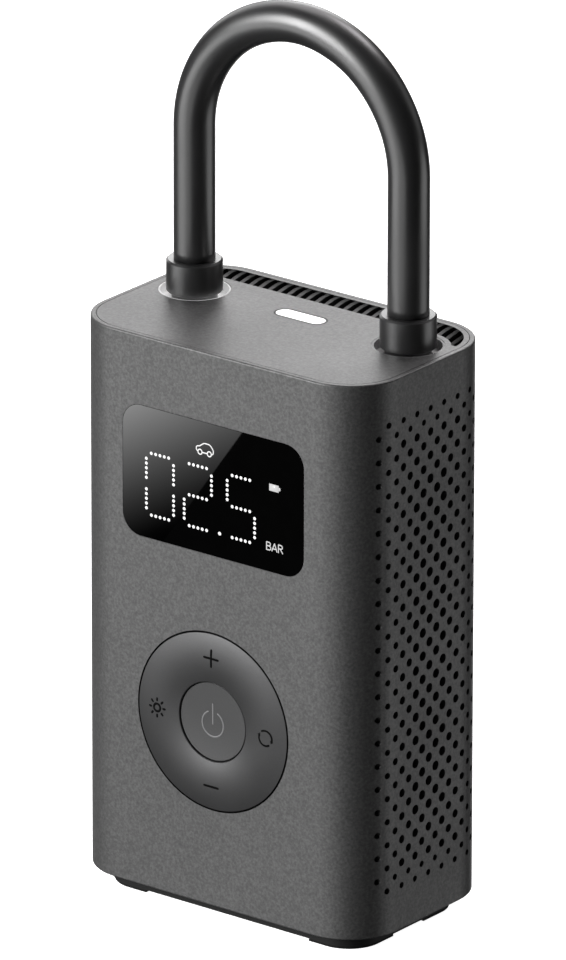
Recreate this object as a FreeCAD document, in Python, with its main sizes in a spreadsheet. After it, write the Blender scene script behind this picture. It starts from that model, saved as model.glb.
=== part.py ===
import FreeCAD, Part
import math
import os
import Sketcher

# Hand-held electric air pump: an upright rounded sleeve with a display, a
# round key pad and side grilles, a short stiff air hose that is stowed as a
# carrying loop over the top, and a motor-driven piston compressor inside.
# Millimetres. +Z up, +X to the right, the display faces -Y. The origin is at
# the centre of the underside, on the surface that the feet stand on.

doc = FreeCAD.newDocument("AirPump")
V = FreeCAD.Vector

# ---------------------------------------------------------------- sizes ----
SIZES = {
    # heights below are given from a plane this far above the ground
    "lift": 1.6,
    # sleeve
    "body_w": 75.0, "body_d": 45.3, "body_r": 12.0,
    "sleeve_z": 2.15, "sleeve_h": 118.85, "wall": 1.5, "seam": 0.15,
    "edge_r": 0.35,
    # display window and key pad openings
    "win_w": 46.0, "win_h": 28.0, "win_r": 4.6, "win_z": 92.15, "win_gap": 0.1,
    "pad_z": 42.25, "pad_hole": 19.25, "ring_r": 19.0, "ring_in": 8.5,
    "ring_back_y": 20.75, "ring_rim": 1.95, "ring_lip": 2.10,
    "ring_crest_r": 13.6, "ring_crest": 2.55,
    "key_r": 8.3, "key_rim": 5.25, "key_mid": 5.12,
    # side grille
    "grille_z": 61.7, "col_pitch": 2.217, "row_pitch": 4.995,
    "hole_a": 2.05, "hole_b": 1.78, "hole_c": 1.55, "hole_d": 1.35,
    # charging socket in the back
    "port_x": 20.0, "port_z": 33.0, "port_w": 9.2, "port_h": 3.4,
    # top cap
    "cap_t": 2.4, "cap_in": 1.25, "plug_in": 1.65, "rebate": 0.4, "rebate_h": 2.45, "post_x": 27.2, "post_y": 6.0,
    "pocket_r": 7.43, "lamp_l": 12.0, "lamp_w": 4.1, "lamp_gap": 0.2,
    "vent_in": 2.35, "vent_y": 14.75, "vent_low": 11.2, "vent_hug": 8.6,
    "vent_pitch": 2.4, "vent_slot": 1.42, "vent_deep": 1.25, "vent_lean": 10.0,
    # base
    "base_in": 4.25, "base_h": 3.2, "plug_h": 2.1, "foot_in": 4.6,
    "foot_x": 21.0, "foot_y": 5.5, "foot_back_y": 4.6, "foot_h": 1.3,
    "base_z": -0.9, "screw_x": 25.0, "screw_y": 14.5,
    # hose
    "hose_d": 8.5, "hose_in": 4.6, "hose_z": 127.65, "leg": 28.3,
    "collar_r": 5.78, "collar_z": 120.75, "neck_r": 4.7, "pocket_z": 119.0,
    "socket_z": 108.8, "chuck_z": 110.4, "socket_r": 4.95,
    # battery
    "cell_r": 9.1, "cell_l": 65.0, "cell_y": 9.2, "cell_z": 15.3,
    # compressor
    "axis_y": 3.5, "motor_z": 44.0, "module": 0.75, "pin_teeth": 12,
    "gear_teeth": 36, "crank": 3.5, "motor_r": 14.0, "motor_x0": -33.0,
    "motor_x1": 4.6, "frame_t": 2.5, "rod_x": 18.0, "bore_r": 9.5,
    "barrel_r": 11.3, "barrel_z0": 82.0, "barrel_z1": 97.2, "head_z1": 104.0,
    # boards
    "board_y": 15.0, "board_t": 1.6,
}
sheet = doc.addObject("Spreadsheet::Sheet", "Spec")
for row, (name, number) in enumerate(SIZES.items(), start=1):
    sheet.set("A%d" % row, name)
    sheet.set("B%d" % row, repr(number))
    sheet.setAlias("B%d" % row, name)
doc.recompute()


class Q:
    """A size: its number and the spreadsheet expression that gives it."""

    def __init__(self, number, text):
        self.n, self.t = float(number), text

    @staticmethod
    def of(other):
        return other if isinstance(other, Q) else Q(other, "(%r)" % float(other))

    def __add__(self, o):
        o = Q.of(o)
        return Q(self.n + o.n, "(%s + %s)" % (self.t, o.t))

    def __radd__(self, o):
        return Q.of(o) + self

    def __sub__(self, o):
        o = Q.of(o)
        return Q(self.n - o.n, "(%s - %s)" % (self.t, o.t))

    def __rsub__(self, o):
        return Q.of(o) - self

    def __mul__(self, o):
        o = Q.of(o)
        return Q(self.n * o.n, "(%s * %s)" % (self.t, o.t))

    def __rmul__(self, o):
        return Q.of(o) * self

    def __truediv__(self, o):
        o = Q.of(o)
        return Q(self.n / o.n, "(%s / %s)" % (self.t, o.t))

    def __neg__(self):
        return Q(-self.n, "(0 - %s)" % self.t)


class Sizes:
    def __getattr__(self, name):
        return Q(SIZES[name], "Spec." + name)


S = Sizes()
TOP = S.sleeve_z + S.sleeve_h
CRANK_Z = S.motor_z + S.module * (S.pin_teeth + S.gear_teeth) / 2
nodes = {}


def num(q):
    return q.n if isinstance(q, Q) else float(q)


def bind(obj, prop, q):
    """Sets a property to its number and binds it to the sheet."""
    if "." not in prop:
        setattr(obj, prop, num(q))
    if isinstance(q, Q):
        obj.setExpression(prop, q.t)


def place(obj, x, y, z, rot=None):
    z = z + S.lift
    r = rot if rot is not None else FreeCAD.Rotation()
    obj.Placement = FreeCAD.Placement(V(num(x), num(y), num(z)), r)
    for axis, q in (("x", x), ("y", y), ("z", z)):
        if isinstance(q, Q):
            obj.setExpression("Placement.Base." + axis, q.t)
    return obj


def node(label, obj):
    obj.Label = label
    nodes[label] = obj
    return obj


def box(name, x0, y0, z0, dx, dy, dz):
    b = doc.addObject("Part::Box", name)
    bind(b, "Length", dx)
    bind(b, "Width", dy)
    bind(b, "Height", dz)
    return place(b, x0, y0, z0)


ALONG = {
    "z": FreeCAD.Rotation(),
    "x": FreeCAD.Rotation(V(0, 1, 0), 90),
    "y": FreeCAD.Rotation(V(1, 0, 0), -90),
    "-y": FreeCAD.Rotation(V(1, 0, 0), 90),
}


def rod(name, along, x, y, z, r, length):
    c = doc.addObject("Part::Cylinder", name)
    bind(c, "Radius", r)
    bind(c, "Height", length)
    return place(c, x, y, z, ALONG[along])


def fuse(name, parts):
    f = doc.addObject("Part::MultiFuse", name)
    f.Shapes = parts
    return f


def cut(name, base, tools):
    c = doc.addObject("Part::Cut", name)
    c.Base = base
    c.Tool = tools[0] if len(tools) == 1 else fuse(name + "_tools", tools)
    return c


def common(name, a, b):
    c = doc.addObject("Part::MultiCommon", name)
    c.Shapes = [a, b]
    return c


def group(name, parts):
    g = doc.addObject("Part::Compound", name)
    g.Links = parts
    return g


def plane(body, role):
    return [f for f in body.Origin.OriginFeatures if f.Role == role][0]


def sketch(body, name, role="XY_Plane", x=0, y=0, lift=0):
    """A sketch on one of the body's own origin planes, moved in that plane."""
    sk = body.newObject("Sketcher::SketchObject", name)
    sk.AttachmentSupport = [(plane(body, role), "")]
    sk.MapMode = "FlatFace"
    sk.AttachmentOffset = FreeCAD.Placement(
        V(num(x), num(y), num(lift)), FreeCAD.Rotation()
    )
    for axis, q in (("x", x), ("y", y), ("z", lift)):
        if isinstance(q, Q):
            sk.setExpression("AttachmentOffset.Base." + axis, q.t)
    return sk


def dim(sk, kind, args, q):
    i = sk.addConstraint(Sketcher.Constraint(kind, *args, num(q)))
    if isinstance(q, Q):
        sk.setExpression("Constraints[%d]" % i, q.t)
    return i


def rounded(sk, w, d, r):
    """A rounded rectangle about the sketch's origin."""
    a, b, c = num(w) / 2, num(d) / 2, num(r)
    line = lambda p, q: Part.LineSegment(V(p[0], p[1], 0), V(q[0], q[1], 0))
    arc = lambda x, y, t: Part.ArcOfCircle(
        Part.Circle(V(x, y, 0), V(0, 0, 1), c), t, t + math.pi / 2
    )
    h = math.pi / 2
    L0 = sk.addGeometry(line((-a + c, -b), (a - c, -b)))
    A0 = sk.addGeometry(arc(a - c, -b + c, -h))
    L1 = sk.addGeometry(line((a, -b + c), (a, b - c)))
    A1 = sk.addGeometry(arc(a - c, b - c, 0))
    L2 = sk.addGeometry(line((a - c, b), (-a + c, b)))
    A2 = sk.addGeometry(arc(-a + c, b - c, h))
    L3 = sk.addGeometry(line((-a, b - c), (-a, -b + c)))
    A3 = sk.addGeometry(arc(-a + c, -b + c, 2 * h))
    for p, q in ((L0, A0), (A0, L1), (L1, A1), (A1, L2), (L2, A2), (A2, L3),
                 (L3, A3), (A3, L0)):
        sk.addConstraint(Sketcher.Constraint("Tangent", p, 2, q, 1))
    for g in (L0, L2):
        sk.addConstraint(Sketcher.Constraint("Horizontal", g))
    for g in (L1, L3):
        sk.addConstraint(Sketcher.Constraint("Vertical", g))
    for g in (A1, A2, A3):
        sk.addConstraint(Sketcher.Constraint("Equal", A0, g))
    dim(sk, "Radius", (A0,), r)
    dim(sk, "DistanceX", (-1, 1, L1, 1), w / 2)
    dim(sk, "DistanceX", (L3, 1, -1, 1), w / 2)
    dim(sk, "DistanceY", (-1, 1, L2, 1), d / 2)
    dim(sk, "DistanceY", (L0, 1, -1, 1), d / 2)


def circle(sk, r):
    g = sk.addGeometry(Part.Circle(V(0, 0, 0), V(0, 0, 1), num(r)))
    sk.addConstraint(Sketcher.Constraint("Coincident", g, 3, -1, 1))
    dim(sk, "Radius", (g,), r)


def slot(sk, length, width):
    """A round-ended slot along the sketch's horizontal axis."""
    a, r = (num(length) - num(width)) / 2, num(width) / 2
    h = math.pi / 2
    L0 = sk.addGeometry(Part.LineSegment(V(-a, -r, 0), V(a, -r, 0)))
    A0 = sk.addGeometry(Part.ArcOfCircle(Part.Circle(V(a, 0, 0), V(0, 0, 1), r), -h, h))
    L1 = sk.addGeometry(Part.LineSegment(V(a, r, 0), V(-a, r, 0)))
    A1 = sk.addGeometry(Part.ArcOfCircle(Part.Circle(V(-a, 0, 0), V(0, 0, 1), r), h, 3 * h))
    for p, q in ((L0, A0), (A0, L1), (L1, A1), (A1, L0)):
        sk.addConstraint(Sketcher.Constraint("Tangent", p, 2, q, 1))
    sk.addConstraint(Sketcher.Constraint("Horizontal", L0))
    sk.addConstraint(Sketcher.Constraint("Equal", A0, A1))
    sk.addConstraint(Sketcher.Constraint("PointOnObject", A0, 3, -1))
    dim(sk, "Radius", (A0,), width / 2)
    dim(sk, "DistanceX", (-1, 1, A0, 3), (length - width) / 2)
    dim(sk, "DistanceX", (A1, 3, -1, 1), (length - width) / 2)


def pad(body, sk, length, back=False):
    p = body.newObject("PartDesign::Pad", sk.Name + "_pad")
    p.Profile = sk
    p.Reversed = back
    bind(p, "Length", length)
    doc.recompute()
    return p


def pocket(body, sk, length, back=False):
    """Cuts a sketch out of the body, and makes sure that something was cut."""
    doc.recompute()
    before = body.Shape.Volume
    p = body.newObject("PartDesign::Pocket", sk.Name + "_cut")
    p.Profile = sk
    p.Reversed = back
    bind(p, "Length", length)
    doc.recompute()
    if not body.Shape.Volume < before - 1e-6:
        raise RuntimeError("nothing was cut by " + sk.Name)
    return p


def new_body(label):
    b = doc.addObject("PartDesign::Body", label)
    return b


def plate(label, w, d, r, z0, t, x=0, y=0):
    """A flat rounded plate lying at height z0."""
    b = new_body(label)
    sk = sketch(b, label + "_outline")
    rounded(sk, w, d, r)
    pad(b, sk, t)
    place(b, x, y, z0)
    return b


def turned(label, pts, x, y, z, rot=None, arcs=None):
    """A turned piece: a closed outline of (radius, height) points, revolved
    about the body's own Z axis. arcs gives a third point for a curved edge."""
    b = new_body(label)
    sk = sketch(b, label + "_outline", "XZ_Plane")
    arcs = arcs or {}
    n = len(pts)
    geo = []
    for i in range(n):
        p, q = pts[i], pts[(i + 1) % n]
        P, R = V(num(p[0]), num(p[1]), 0), V(num(q[0]), num(q[1]), 0)
        if i in arcs:
            m = arcs[i]
            three = Part.Arc(P, V(num(m[0]), num(m[1]), 0), R).toShape().Curve
            c, rad = three.Center, three.Radius
            ap, ar = (math.atan2(t.y - c.y, t.x - c.x) for t in (P, R))
            span = (ar - ap) % (2 * math.pi)
            a0, a1 = (ap, ap + span) if span < math.pi else (ar, ar + 2 * math.pi - span)
            geo.append(sk.addGeometry(Part.ArcOfCircle(
                Part.Circle(c, V(0, 0, 1), rad), a0, a1)))
        else:
            geo.append(sk.addGeometry(Part.LineSegment(P, R)))
    # which end of each edge is its start, because some arcs are turned round
    order = []
    for i in range(n):
        g = sk.Geometry[geo[i]]
        s = V(num(pts[i][0]), num(pts[i][1]), 0)
        order.append((1, 2) if (g.StartPoint - s).Length < 1e-6 else (2, 1))
    size = {i: sk.Geometry[geo[i]].Radius for i in arcs}
    for i in range(n):
        a, c = order[i], order[(i + 1) % n]
        sk.addConstraint(Sketcher.Constraint("Coincident", geo[i], a[1], geo[(i + 1) % n], c[0]))
    for i in range(n):
        s = order[i][0]
        for k, (kind, axis) in enumerate((("DistanceX", -2), ("DistanceY", -1))):
            q = pts[i][k]
            if abs(num(q)) < 1e-9:
                sk.addConstraint(Sketcher.Constraint("PointOnObject", geo[i], s, axis))
            elif num(q) > 0:
                dim(sk, kind, (-1, 1, geo[i], s), q)
            else:
                dim(sk, kind, (geo[i], s, -1, 1), -q)
    for i in arcs:
        dim(sk, "Radius", (geo[i],), size[i])
    rv = b.newObject("PartDesign::Revolution", label + "_turn")
    rv.Profile = sk
    rv.ReferenceAxis = (sk, ["V_Axis"])
    rv.Angle = 360.0
    doc.recompute()
    place(b, x, y, z, rot)
    return b


# -------------------------------------------------------- housing sleeve ----
body = new_body("sleeve_blank")
sk = sketch(body, "sleeve_outline")
rounded(sk, S.body_w, S.body_d, S.body_r)
rounded(sk, S.body_w - 2 * S.wall, S.body_d - 2 * S.wall, S.body_r - S.wall)
pad(body, sk, S.sleeve_h)
# shallow step inside the top edge that takes the cap
sk = sketch(body, "sleeve_rebate", "XY_Plane", 0, 0, S.sleeve_h)
rounded(sk, S.body_w - 2 * (S.wall - S.rebate), S.body_d - 2 * (S.wall - S.rebate),
        S.body_r - (S.wall - S.rebate))
pocket(body, sk, S.rebate_h)
# window and key-pad holes in the front wall only
sk = sketch(body, "sleeve_window", "XZ_Plane", 0, S.win_z - S.sleeve_z)
rounded(sk, S.win_w + 2 * S.win_gap, S.win_h + 2 * S.win_gap, S.win_r + S.win_gap)
pocket(body, sk, S.body_d, back=True)
sk = sketch(body, "sleeve_keyhole", "XZ_Plane", 0, S.pad_z - S.sleeve_z)
circle(sk, S.pad_hole)
pocket(body, sk, S.body_d, back=True)
# charging slot in the back wall only
sk = sketch(body, "sleeve_port", "XZ_Plane", S.port_x, S.port_z - S.sleeve_z)
slot(sk, S.port_w, S.port_h)
pocket(body, sk, S.body_d)
# small rounding on the outer top and bottom edges
rim = []
for i, e in enumerate(body.Shape.Edges, start=1):
    bb = e.BoundBox
    flat = bb.ZLength < 1e-6 and (
        abs(bb.ZMin) < 1e-6 or abs(bb.ZMin - SIZES["sleeve_h"]) < 1e-6)
    p = e.valueAt((e.FirstParameter + e.LastParameter) / 2)
    a, b_, r_ = SIZES["body_w"] / 2, SIZES["body_d"] / 2, SIZES["body_r"]
    cx, cy = max(abs(p.x) - (a - r_), 0), max(abs(p.y) - (b_ - r_), 0)
    outer = abs(math.hypot(cx, cy) - r_) < 1e-4
    if flat and outer:
        rim.append("Edge%d" % i)
last = body.Tip
f = body.newObject("PartDesign::Fillet", "sleeve_edges")
f.Base = (last, rim)
bind(f, "Radius", S.edge_r)
doc.recompute()
place(body, 0, 0, S.sleeve_z)

# side grille: staggered columns of drilled holes, 21 rows in every other
# column and 20 between them; the holes shrink towards the pattern's border
drills = []
for k in range(-7, 8):
    rows = [10 - i for i in range(21)] if k % 2 == 0 else [9.5 - i for i in range(20)]
    ak = abs(k)
    d_col = (SIZES["hole_a"] if ak <= 2 else SIZES["hole_b"] if ak <= 4 else
             SIZES["hole_c"] if ak == 5 else SIZES["hole_d"])
    for i, rw in enumerate(rows):
        edge = min(i, len(rows) - 1 - i)
        d_row = (SIZES["hole_d"], SIZES["hole_b"], 1.9)[edge] if edge < 3 else 9.0
        d = min(d_col, d_row)
        for side in (-1, 1):
            drills.append(Part.makeCylinder(
                d / 2, 12.0,
                V(side * 29.0, k * SIZES["col_pitch"],
                  SIZES["grille_z"] + rw * SIZES["row_pitch"]),
                V(side, 0, 0)))
tool = doc.addObject("Part::Feature", "grille_drills")
tool.Shape = Part.makeCompound(drills)
place(tool, 0, 0, 0)
node("housing_sleeve", cut("housing_sleeve", body, [tool]))

# ---------------------------------------------------------------- top cap ----
cap = new_body("cap_blank")
sk = sketch(cap, "cap_outline")
rounded(sk, S.body_w - 2 * S.cap_in, S.body_d - 2 * S.cap_in, S.body_r - S.cap_in)
pad(cap, sk, S.cap_t)
for side, name in ((-1, "cap_left_pocket"), (1, "cap_right_pocket")):
    sk = sketch(cap, name, "XY_Plane", side * S.post_x, S.post_y, S.cap_t)
    circle(sk, S.pocket_r)
    pocket(cap, sk, S.cap_t)
sk = sketch(cap, "cap_lamp_slot", "XY_Plane", 0, S.post_y, S.cap_t)
slot(sk, S.lamp_l + 2 * S.lamp_gap, S.lamp_w + 2 * S.lamp_gap)
pocket(cap, sk, S.cap_t)
place(cap, 0, 0, TOP - S.cap_t)
# comb vent along the back: a channel that follows the rear corners, hugs the
# two pockets and rises towards the back edge, cut through between ribs that
# run front to back
area = plate("vent_outline", S.body_w - 2 * S.vent_in, S.body_d - 2 * S.vent_in,
             S.body_r - S.vent_in, TOP - 5.0, 8.0)
front = [
    box("vent_front", -40.0, -40.0, TOP - 6.0, 80.0, S.vent_low + 40.0, 10.0),
    box("vent_middle", -S.post_x, 0.0, TOP - 6.0, 2 * S.post_x, S.vent_y, 10.0),
    rod("vent_hug_left", "z", -S.post_x, S.post_y, TOP - 6.0, S.vent_hug, 10.0),
    rod("vent_hug_right", "z", S.post_x, S.post_y, TOP - 6.0, S.vent_hug, 10.0),
]
vent = cut("vent_area", area, front)
floor = box("vent_depth", -40.0, 0.0, 0.0, 80.0, 30.0, 5.0)
place(floor, -40.0, S.vent_low, TOP - S.vent_deep,
      FreeCAD.Rotation(V(1, 0, 0), SIZES["vent_lean"]))
channel = common("vent_channel", vent, floor)
bars = []
for i in range(-14, 15):
    bars.append(box("vent_bar_%02d" % (i + 14), i * S.vent_pitch - S.vent_slot / 2,
                    5.0, TOP - 6.0, S.vent_slot, 20.0, 10.0))
slots = common("vent_slots", vent, fuse("vent_bars", bars))
node("top_cap", cut("top_cap", cap, [channel, slots]))

# white lamp lens, flush with the cap, and its board
lens = new_body("lamp_lens")
sk = sketch(lens, "lens_outline")
slot(sk, S.lamp_l, S.lamp_w)
pad(lens, sk, S.cap_t + 0.6)
sk = sketch(lens, "lens_flange")
slot(sk, S.lamp_l + 2.4, S.lamp_w + 2.4)
pad(lens, sk, 0.6)
place(lens, 0, S.post_y, TOP - S.cap_t - 0.6)
node("lamp_lens", lens)
node("lamp_board", fuse("lamp_board", [
    box("lamp_board_plate", -11.0, S.post_y - 4.5, TOP - 7.0, 22.0, 9.0, 1.2),
    box("lamp_led_a", -3.9, S.post_y - 1.4, TOP - 5.8, 2.8, 2.8, 1.2),
    box("lamp_led_b", 1.1, S.post_y - 1.4, TOP - 5.8, 2.8, 2.8, 1.2)]))

# ------------------------------------------------------------------- base ----
cover = new_body("base_blank")
sk = sketch(cover, "base_outline")
rounded(sk, S.body_w - 2 * S.base_in, S.body_d - 2 * S.base_in, S.body_r - S.base_in)
pad(cover, sk, S.base_h)
sk = sketch(cover, "base_plug", "XY_Plane", 0, 0, S.base_h)
rounded(sk, S.body_w - 2 * S.plug_in, S.body_d - 2 * S.plug_in, S.body_r - S.plug_in)
pad(cover, sk, S.plug_h)
place(cover, 0, 0, S.base_z)


def corner_feet(name, grow, z0, t):
    """The four corner shapes of the feet, cut from one rounded outline."""
    inset = S.foot_in - grow
    blank = plate(name + "_blank", S.body_w - 2 * inset, S.body_d - 2 * inset,
                  S.body_r - inset, z0, t)
    out = []
    for sx in (-1, 1):
        for nm, y0 in (("front", None), ("back", S.foot_back_y - grow)):
            x0 = S.foot_x - grow if sx > 0 else Q.of(-40.0)
            dx = 40.0 - S.foot_x + grow
            ys = y0 if y0 is not None else Q.of(-30.0)
            dy = 30.0 - y0 if y0 is not None else 30.0 - S.foot_y + grow
            nm2 = "%s_%s_%s" % (name, nm, "r" if sx > 0 else "l")
            b = box(nm2 + "_box", x0, ys, z0 - 1.0, dx, dy, t + 2.0)
            out.append(common(nm2, blank, b))
    return out


recess = corner_feet("recess", 0.1, S.base_z, S.foot_h - S.lift - S.base_z)
holes = []
for i, (sx, sy) in enumerate(((-1, -1), (1, -1), (-1, 1), (1, 1))):
    holes.append(rod("base_hole_%d" % i, "z", sx * S.screw_x, sy * S.screw_y,
                     S.base_z - 1.0, 1.1, 8.0))
    holes.append(rod("base_sink_%d" % i, "z", sx * S.screw_x, sy * S.screw_y,
                     S.base_z - 1.0, 2.2, 2.9))
node("base_cover", cut("base_cover", cover, recess + holes))
feet = corner_feet("foot", 0.0, -S.lift, S.foot_h)
node("foot_pads", group("foot_pads", feet))
screws = []
for i, (sx, sy) in enumerate(((-1, -1), (1, -1), (-1, 1), (1, 1))):
    screws.append(fuse("base_screw_%d" % i, [
        rod("screw_head_%d" % i, "z", sx * S.screw_x, sy * S.screw_y,
            S.base_z + 0.6, 1.95, 1.25),
        rod("screw_shank_%d" % i, "z", sx * S.screw_x, sy * S.screw_y,
            S.base_z + 1.85, 0.95, 5.4)]))
node("base_screws", group("base_screws", screws))

# ---------------------------------------------------------------- battery ----
tray_cut = [rod("tray_groove_%d" % i, "x", -40.0, sy * S.cell_y, S.cell_z,
                S.cell_r + 0.15, 80.0) for i, sy in enumerate((-1, 1))]
tray_cut += [rod("tray_hole_%d" % i, "z", sx * S.screw_x, sy * S.screw_y,
                 4.0, 1.0, 2.6)
             for i, (sx, sy) in enumerate(((-1, -1), (1, -1), (-1, 1), (1, 1)))]
node("battery_tray", cut("battery_tray", box(
    "tray_block", -31.0, -18.0, 4.5, 62.0, 36.0, 6.5), tray_cut))
node("battery_cells", group("battery_cells", [
    rod("cell_%d" % i, "x", -S.cell_l / 2, sy * S.cell_y, S.cell_z, S.cell_r,
        S.cell_l) for i, sy in enumerate((-1, 1))]))
node("battery_tabs", group("battery_tabs", [
    box("tab_left", -S.cell_l / 2 - 0.3, -13.0, S.cell_z - 3.5, 0.3, 26.0, 7.0),
    box("tab_right_a", S.cell_l / 2, -13.0, S.cell_z - 3.5, 0.3, 8.0, 7.0),
    box("tab_right_b", S.cell_l / 2, 5.0, S.cell_z - 3.5, 0.3, 8.0, 7.0)]))

# ------------------------------------------------------------ inner frame ----
frame_add = fuse("frame_add", [
    box("frame_back", -27.0, 18.6, 25.2, 54.0, 1.6, 84.0),
    box("frame_shelf", -30.0, -12.6, 25.2, 60.0, 32.2, 1.8),
    box("cradle_a", -28.0, -8.0, 27.0, 3.0, 23.0, 9.0),
    box("cradle_b", -3.0, -8.0, 27.0, 3.0, 23.0, 9.0)])
node("inner_frame", cut("inner_frame", frame_add, [
    rod("cradle_bore", "x", -40.0, S.axis_y, S.motor_z, S.motor_r + 0.05, 44.6),
    box("frame_port", S.port_x - 6.0, 17.0, S.port_z - 3.0, 20.0, 5.0, 6.0)]))

# ------------------------------------------------------------------ boards ----
node("main_board", box("main_board", -28.0, -S.board_y, 26.0, 56.0, S.board_t, 84.0))
by = -S.board_y + S.board_t
node("board_parts", group("board_parts", [
    box("chip_a", -22.0, by, 88.0, 8.0, 1.2, 8.0),
    box("chip_b", -8.0, by, 92.0, 5.0, 1.2, 6.0),
    box("coil", -24.0, by, 70.0, 7.0, 3.6, 7.0),
    box("plug_a", -24.0, by, 27.5, 8.0, 2.6, 5.0),
    box("plug_b", 14.0, by, 27.5, 6.0, 2.6, 5.0),
    box("mosfet", -10.0, by, 60.0, 6.2, 2.0, 6.6)]))
node("pressure_sensor", fuse("pressure_sensor", [
    box("sensor_body", -6.0, by, 101.0, 6.0, 2.2, 6.0),
    rod("sensor_nipple", "y", -3.0, by + 2.1, 104.0, 1.2, 2.6)]))
node("display_module", box("display_module", -21.0, -S.body_d / 2 + S.wall + 0.1,
                           S.win_z - 12.3, 42.0, 6.0, 24.6))
window = new_body("display_window")
sk = sketch(window, "window_outline", "XZ_Plane", 0, S.win_z)
rounded(sk, S.win_w, S.win_h, S.win_r)
pad(window, sk, S.wall)
place(window, 0, -S.body_d / 2 + S.wall, 0)
node("display_window", window)

# five tact switches and the moulded guide of the centre key
R_NUB = 13.4
spots = [(0.0, 0.0), (R_NUB, 0.0), (-R_NUB, 0.0), (0.0, R_NUB), (0.0, -R_NUB)]
switches = []
for i, (sx, sz) in enumerate(spots):
    switches.append(fuse("switch_%d" % i, [
        box("switch_box_%d" % i, sx - 2.1, -S.board_y - 1.5, S.pad_z + sz - 2.1,
            4.2, 1.5, 4.2),
        rod("switch_tip_%d" % i, "-y", sx, -S.board_y - 1.4, S.pad_z + sz,
            1.0, 0.5)]))
node("key_switches", group("key_switches", switches))
node("key_guide", cut("key_guide", rod(
    "guide_out", "-y", 0.0, -S.board_y, S.pad_z, 4.7, 3.6), [
    rod("guide_in", "-y", 0.0, -S.board_y + 1.0, S.pad_z, 3.45, 6.0)]))

# --------------------------------------------------------------- key pad ----
# four-way ring with a convex, ring-doughnut face that stands just proud of
# the front; turned about its own axis, which points out of the front
ring = turned("ring_blank", [
    (S.ring_in, 0.0), (S.ring_r, 0.0), (S.ring_r, S.ring_rim - 0.13),
    (S.ring_r - 0.13, S.ring_rim), (S.ring_in + 0.13, S.ring_lip),
    (S.ring_in, S.ring_lip - 0.13)],
    0, -S.ring_back_y, S.pad_z, ALONG["-y"],
    arcs={3: (S.ring_crest_r, S.ring_crest)})
nubs = [rod("ring_nub_%d" % i, "y", sx, -S.ring_back_y - 0.05, S.pad_z + sz, 1.1, 3.3)
        for i, (sx, sz) in enumerate(spots[1:])]
node("control_ring", fuse("control_ring", [ring] + nubs))
node("ring_carrier", turned("ring_carrier", [
    (16.0, 0.0), (20.3, 0.0), (20.3, 0.8), (16.0, 0.8)],
    0, -19.4, S.pad_z, ALONG["-y"]))
node("power_key", turned("power_key", [
    (0.0, 0.0), (3.35, 0.0), (3.35, 3.0), (S.key_r, 3.0), (S.key_r, S.key_rim - 0.12),
    (S.key_r - 0.12, S.key_rim), (0.0, S.key_mid)],
    0, -17.35, S.pad_z, ALONG["-y"], arcs={5: (4.3, (S.key_rim + 3 * S.key_mid) / 4)}))

# ------------------------------------------------------- charging socket ----
shell = box("port_shell", S.port_x - 4.45, 13.9, S.port_z - 1.6, 8.9, 7.2, 3.2)
node("charge_port", cut("charge_port", shell, [
    box("port_void", S.port_x - 4.05, 15.0, S.port_z - 1.2, 8.1, 8.0, 2.4)]))
node("charge_tongue", box("charge_tongue", S.port_x - 3.2, 15.0,
                          S.port_z - 0.35, 6.4, 5.2, 0.7))
node("charge_board", box("charge_board", S.port_x - 6.5, 7.0, S.port_z - 2.8, 13.0, 11.4, 1.2))

# --------------------------------------------------------- intake filters ----
outer = plate("filter_outer", S.body_w - 3.5, S.body_d - 3.5, S.body_r - 1.75,
              Q.of(7.0), 109.0)
inner = plate("filter_inner", S.body_w - 4.5, S.body_d - 4.5, S.body_r - 2.25,
              Q.of(6.0), 111.0)
skin = cut("filter_skin", outer, [inner])
for side, label, x0 in ((-1, "intake_filter_left", -40.0), (1, "intake_filter_right", 25.0)):
    node(label, common(label, skin, box(label + "_box", x0, -16.7, 5.0, 15.0, 33.4, 113.0)))

# ------------------------------------------------------------- compressor ----
ax = S.axis_y
tx = S.motor_x1                       # inner face of the drive frame
frame_solid = fuse("drive_frame_add", [
    box("frame_plate", tx, ax - 14.0, 30.0, S.frame_t, 28.0, 54.0),
    box("frame_top", tx, ax - 14.0, 82.0, 27.4, 28.0, 2.5)])
node("drive_frame", cut("drive_frame", frame_solid, [
    rod("nose_hole", "x", tx - 1.0, ax, S.motor_z, 5.0, 6.0),
    rod("bearing_hole", "x", tx - 1.0, ax, CRANK_Z, 4.5, 6.0),
    rod("barrel_hole", "z", S.rod_x, ax, 80.0, S.barrel_r - 0.8, 8.0)]
    + [rod("tie_hole_%d" % i, "z", S.rod_x + sx * 9.6, ax + sy * 9.6, 80.0, 1.25, 8.0)
       for i, (sx, sy) in enumerate(((-1, -1), (1, -1), (-1, 1), (1, 1)))]))
node("crank_bearing", cut("crank_bearing", rod(
    "bearing_ring", "x", tx, ax, CRANK_Z, 4.5, S.frame_t), [
    rod("bearing_bore", "x", tx - 1.0, ax, CRANK_Z, 1.64, 5.0)]))
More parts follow.
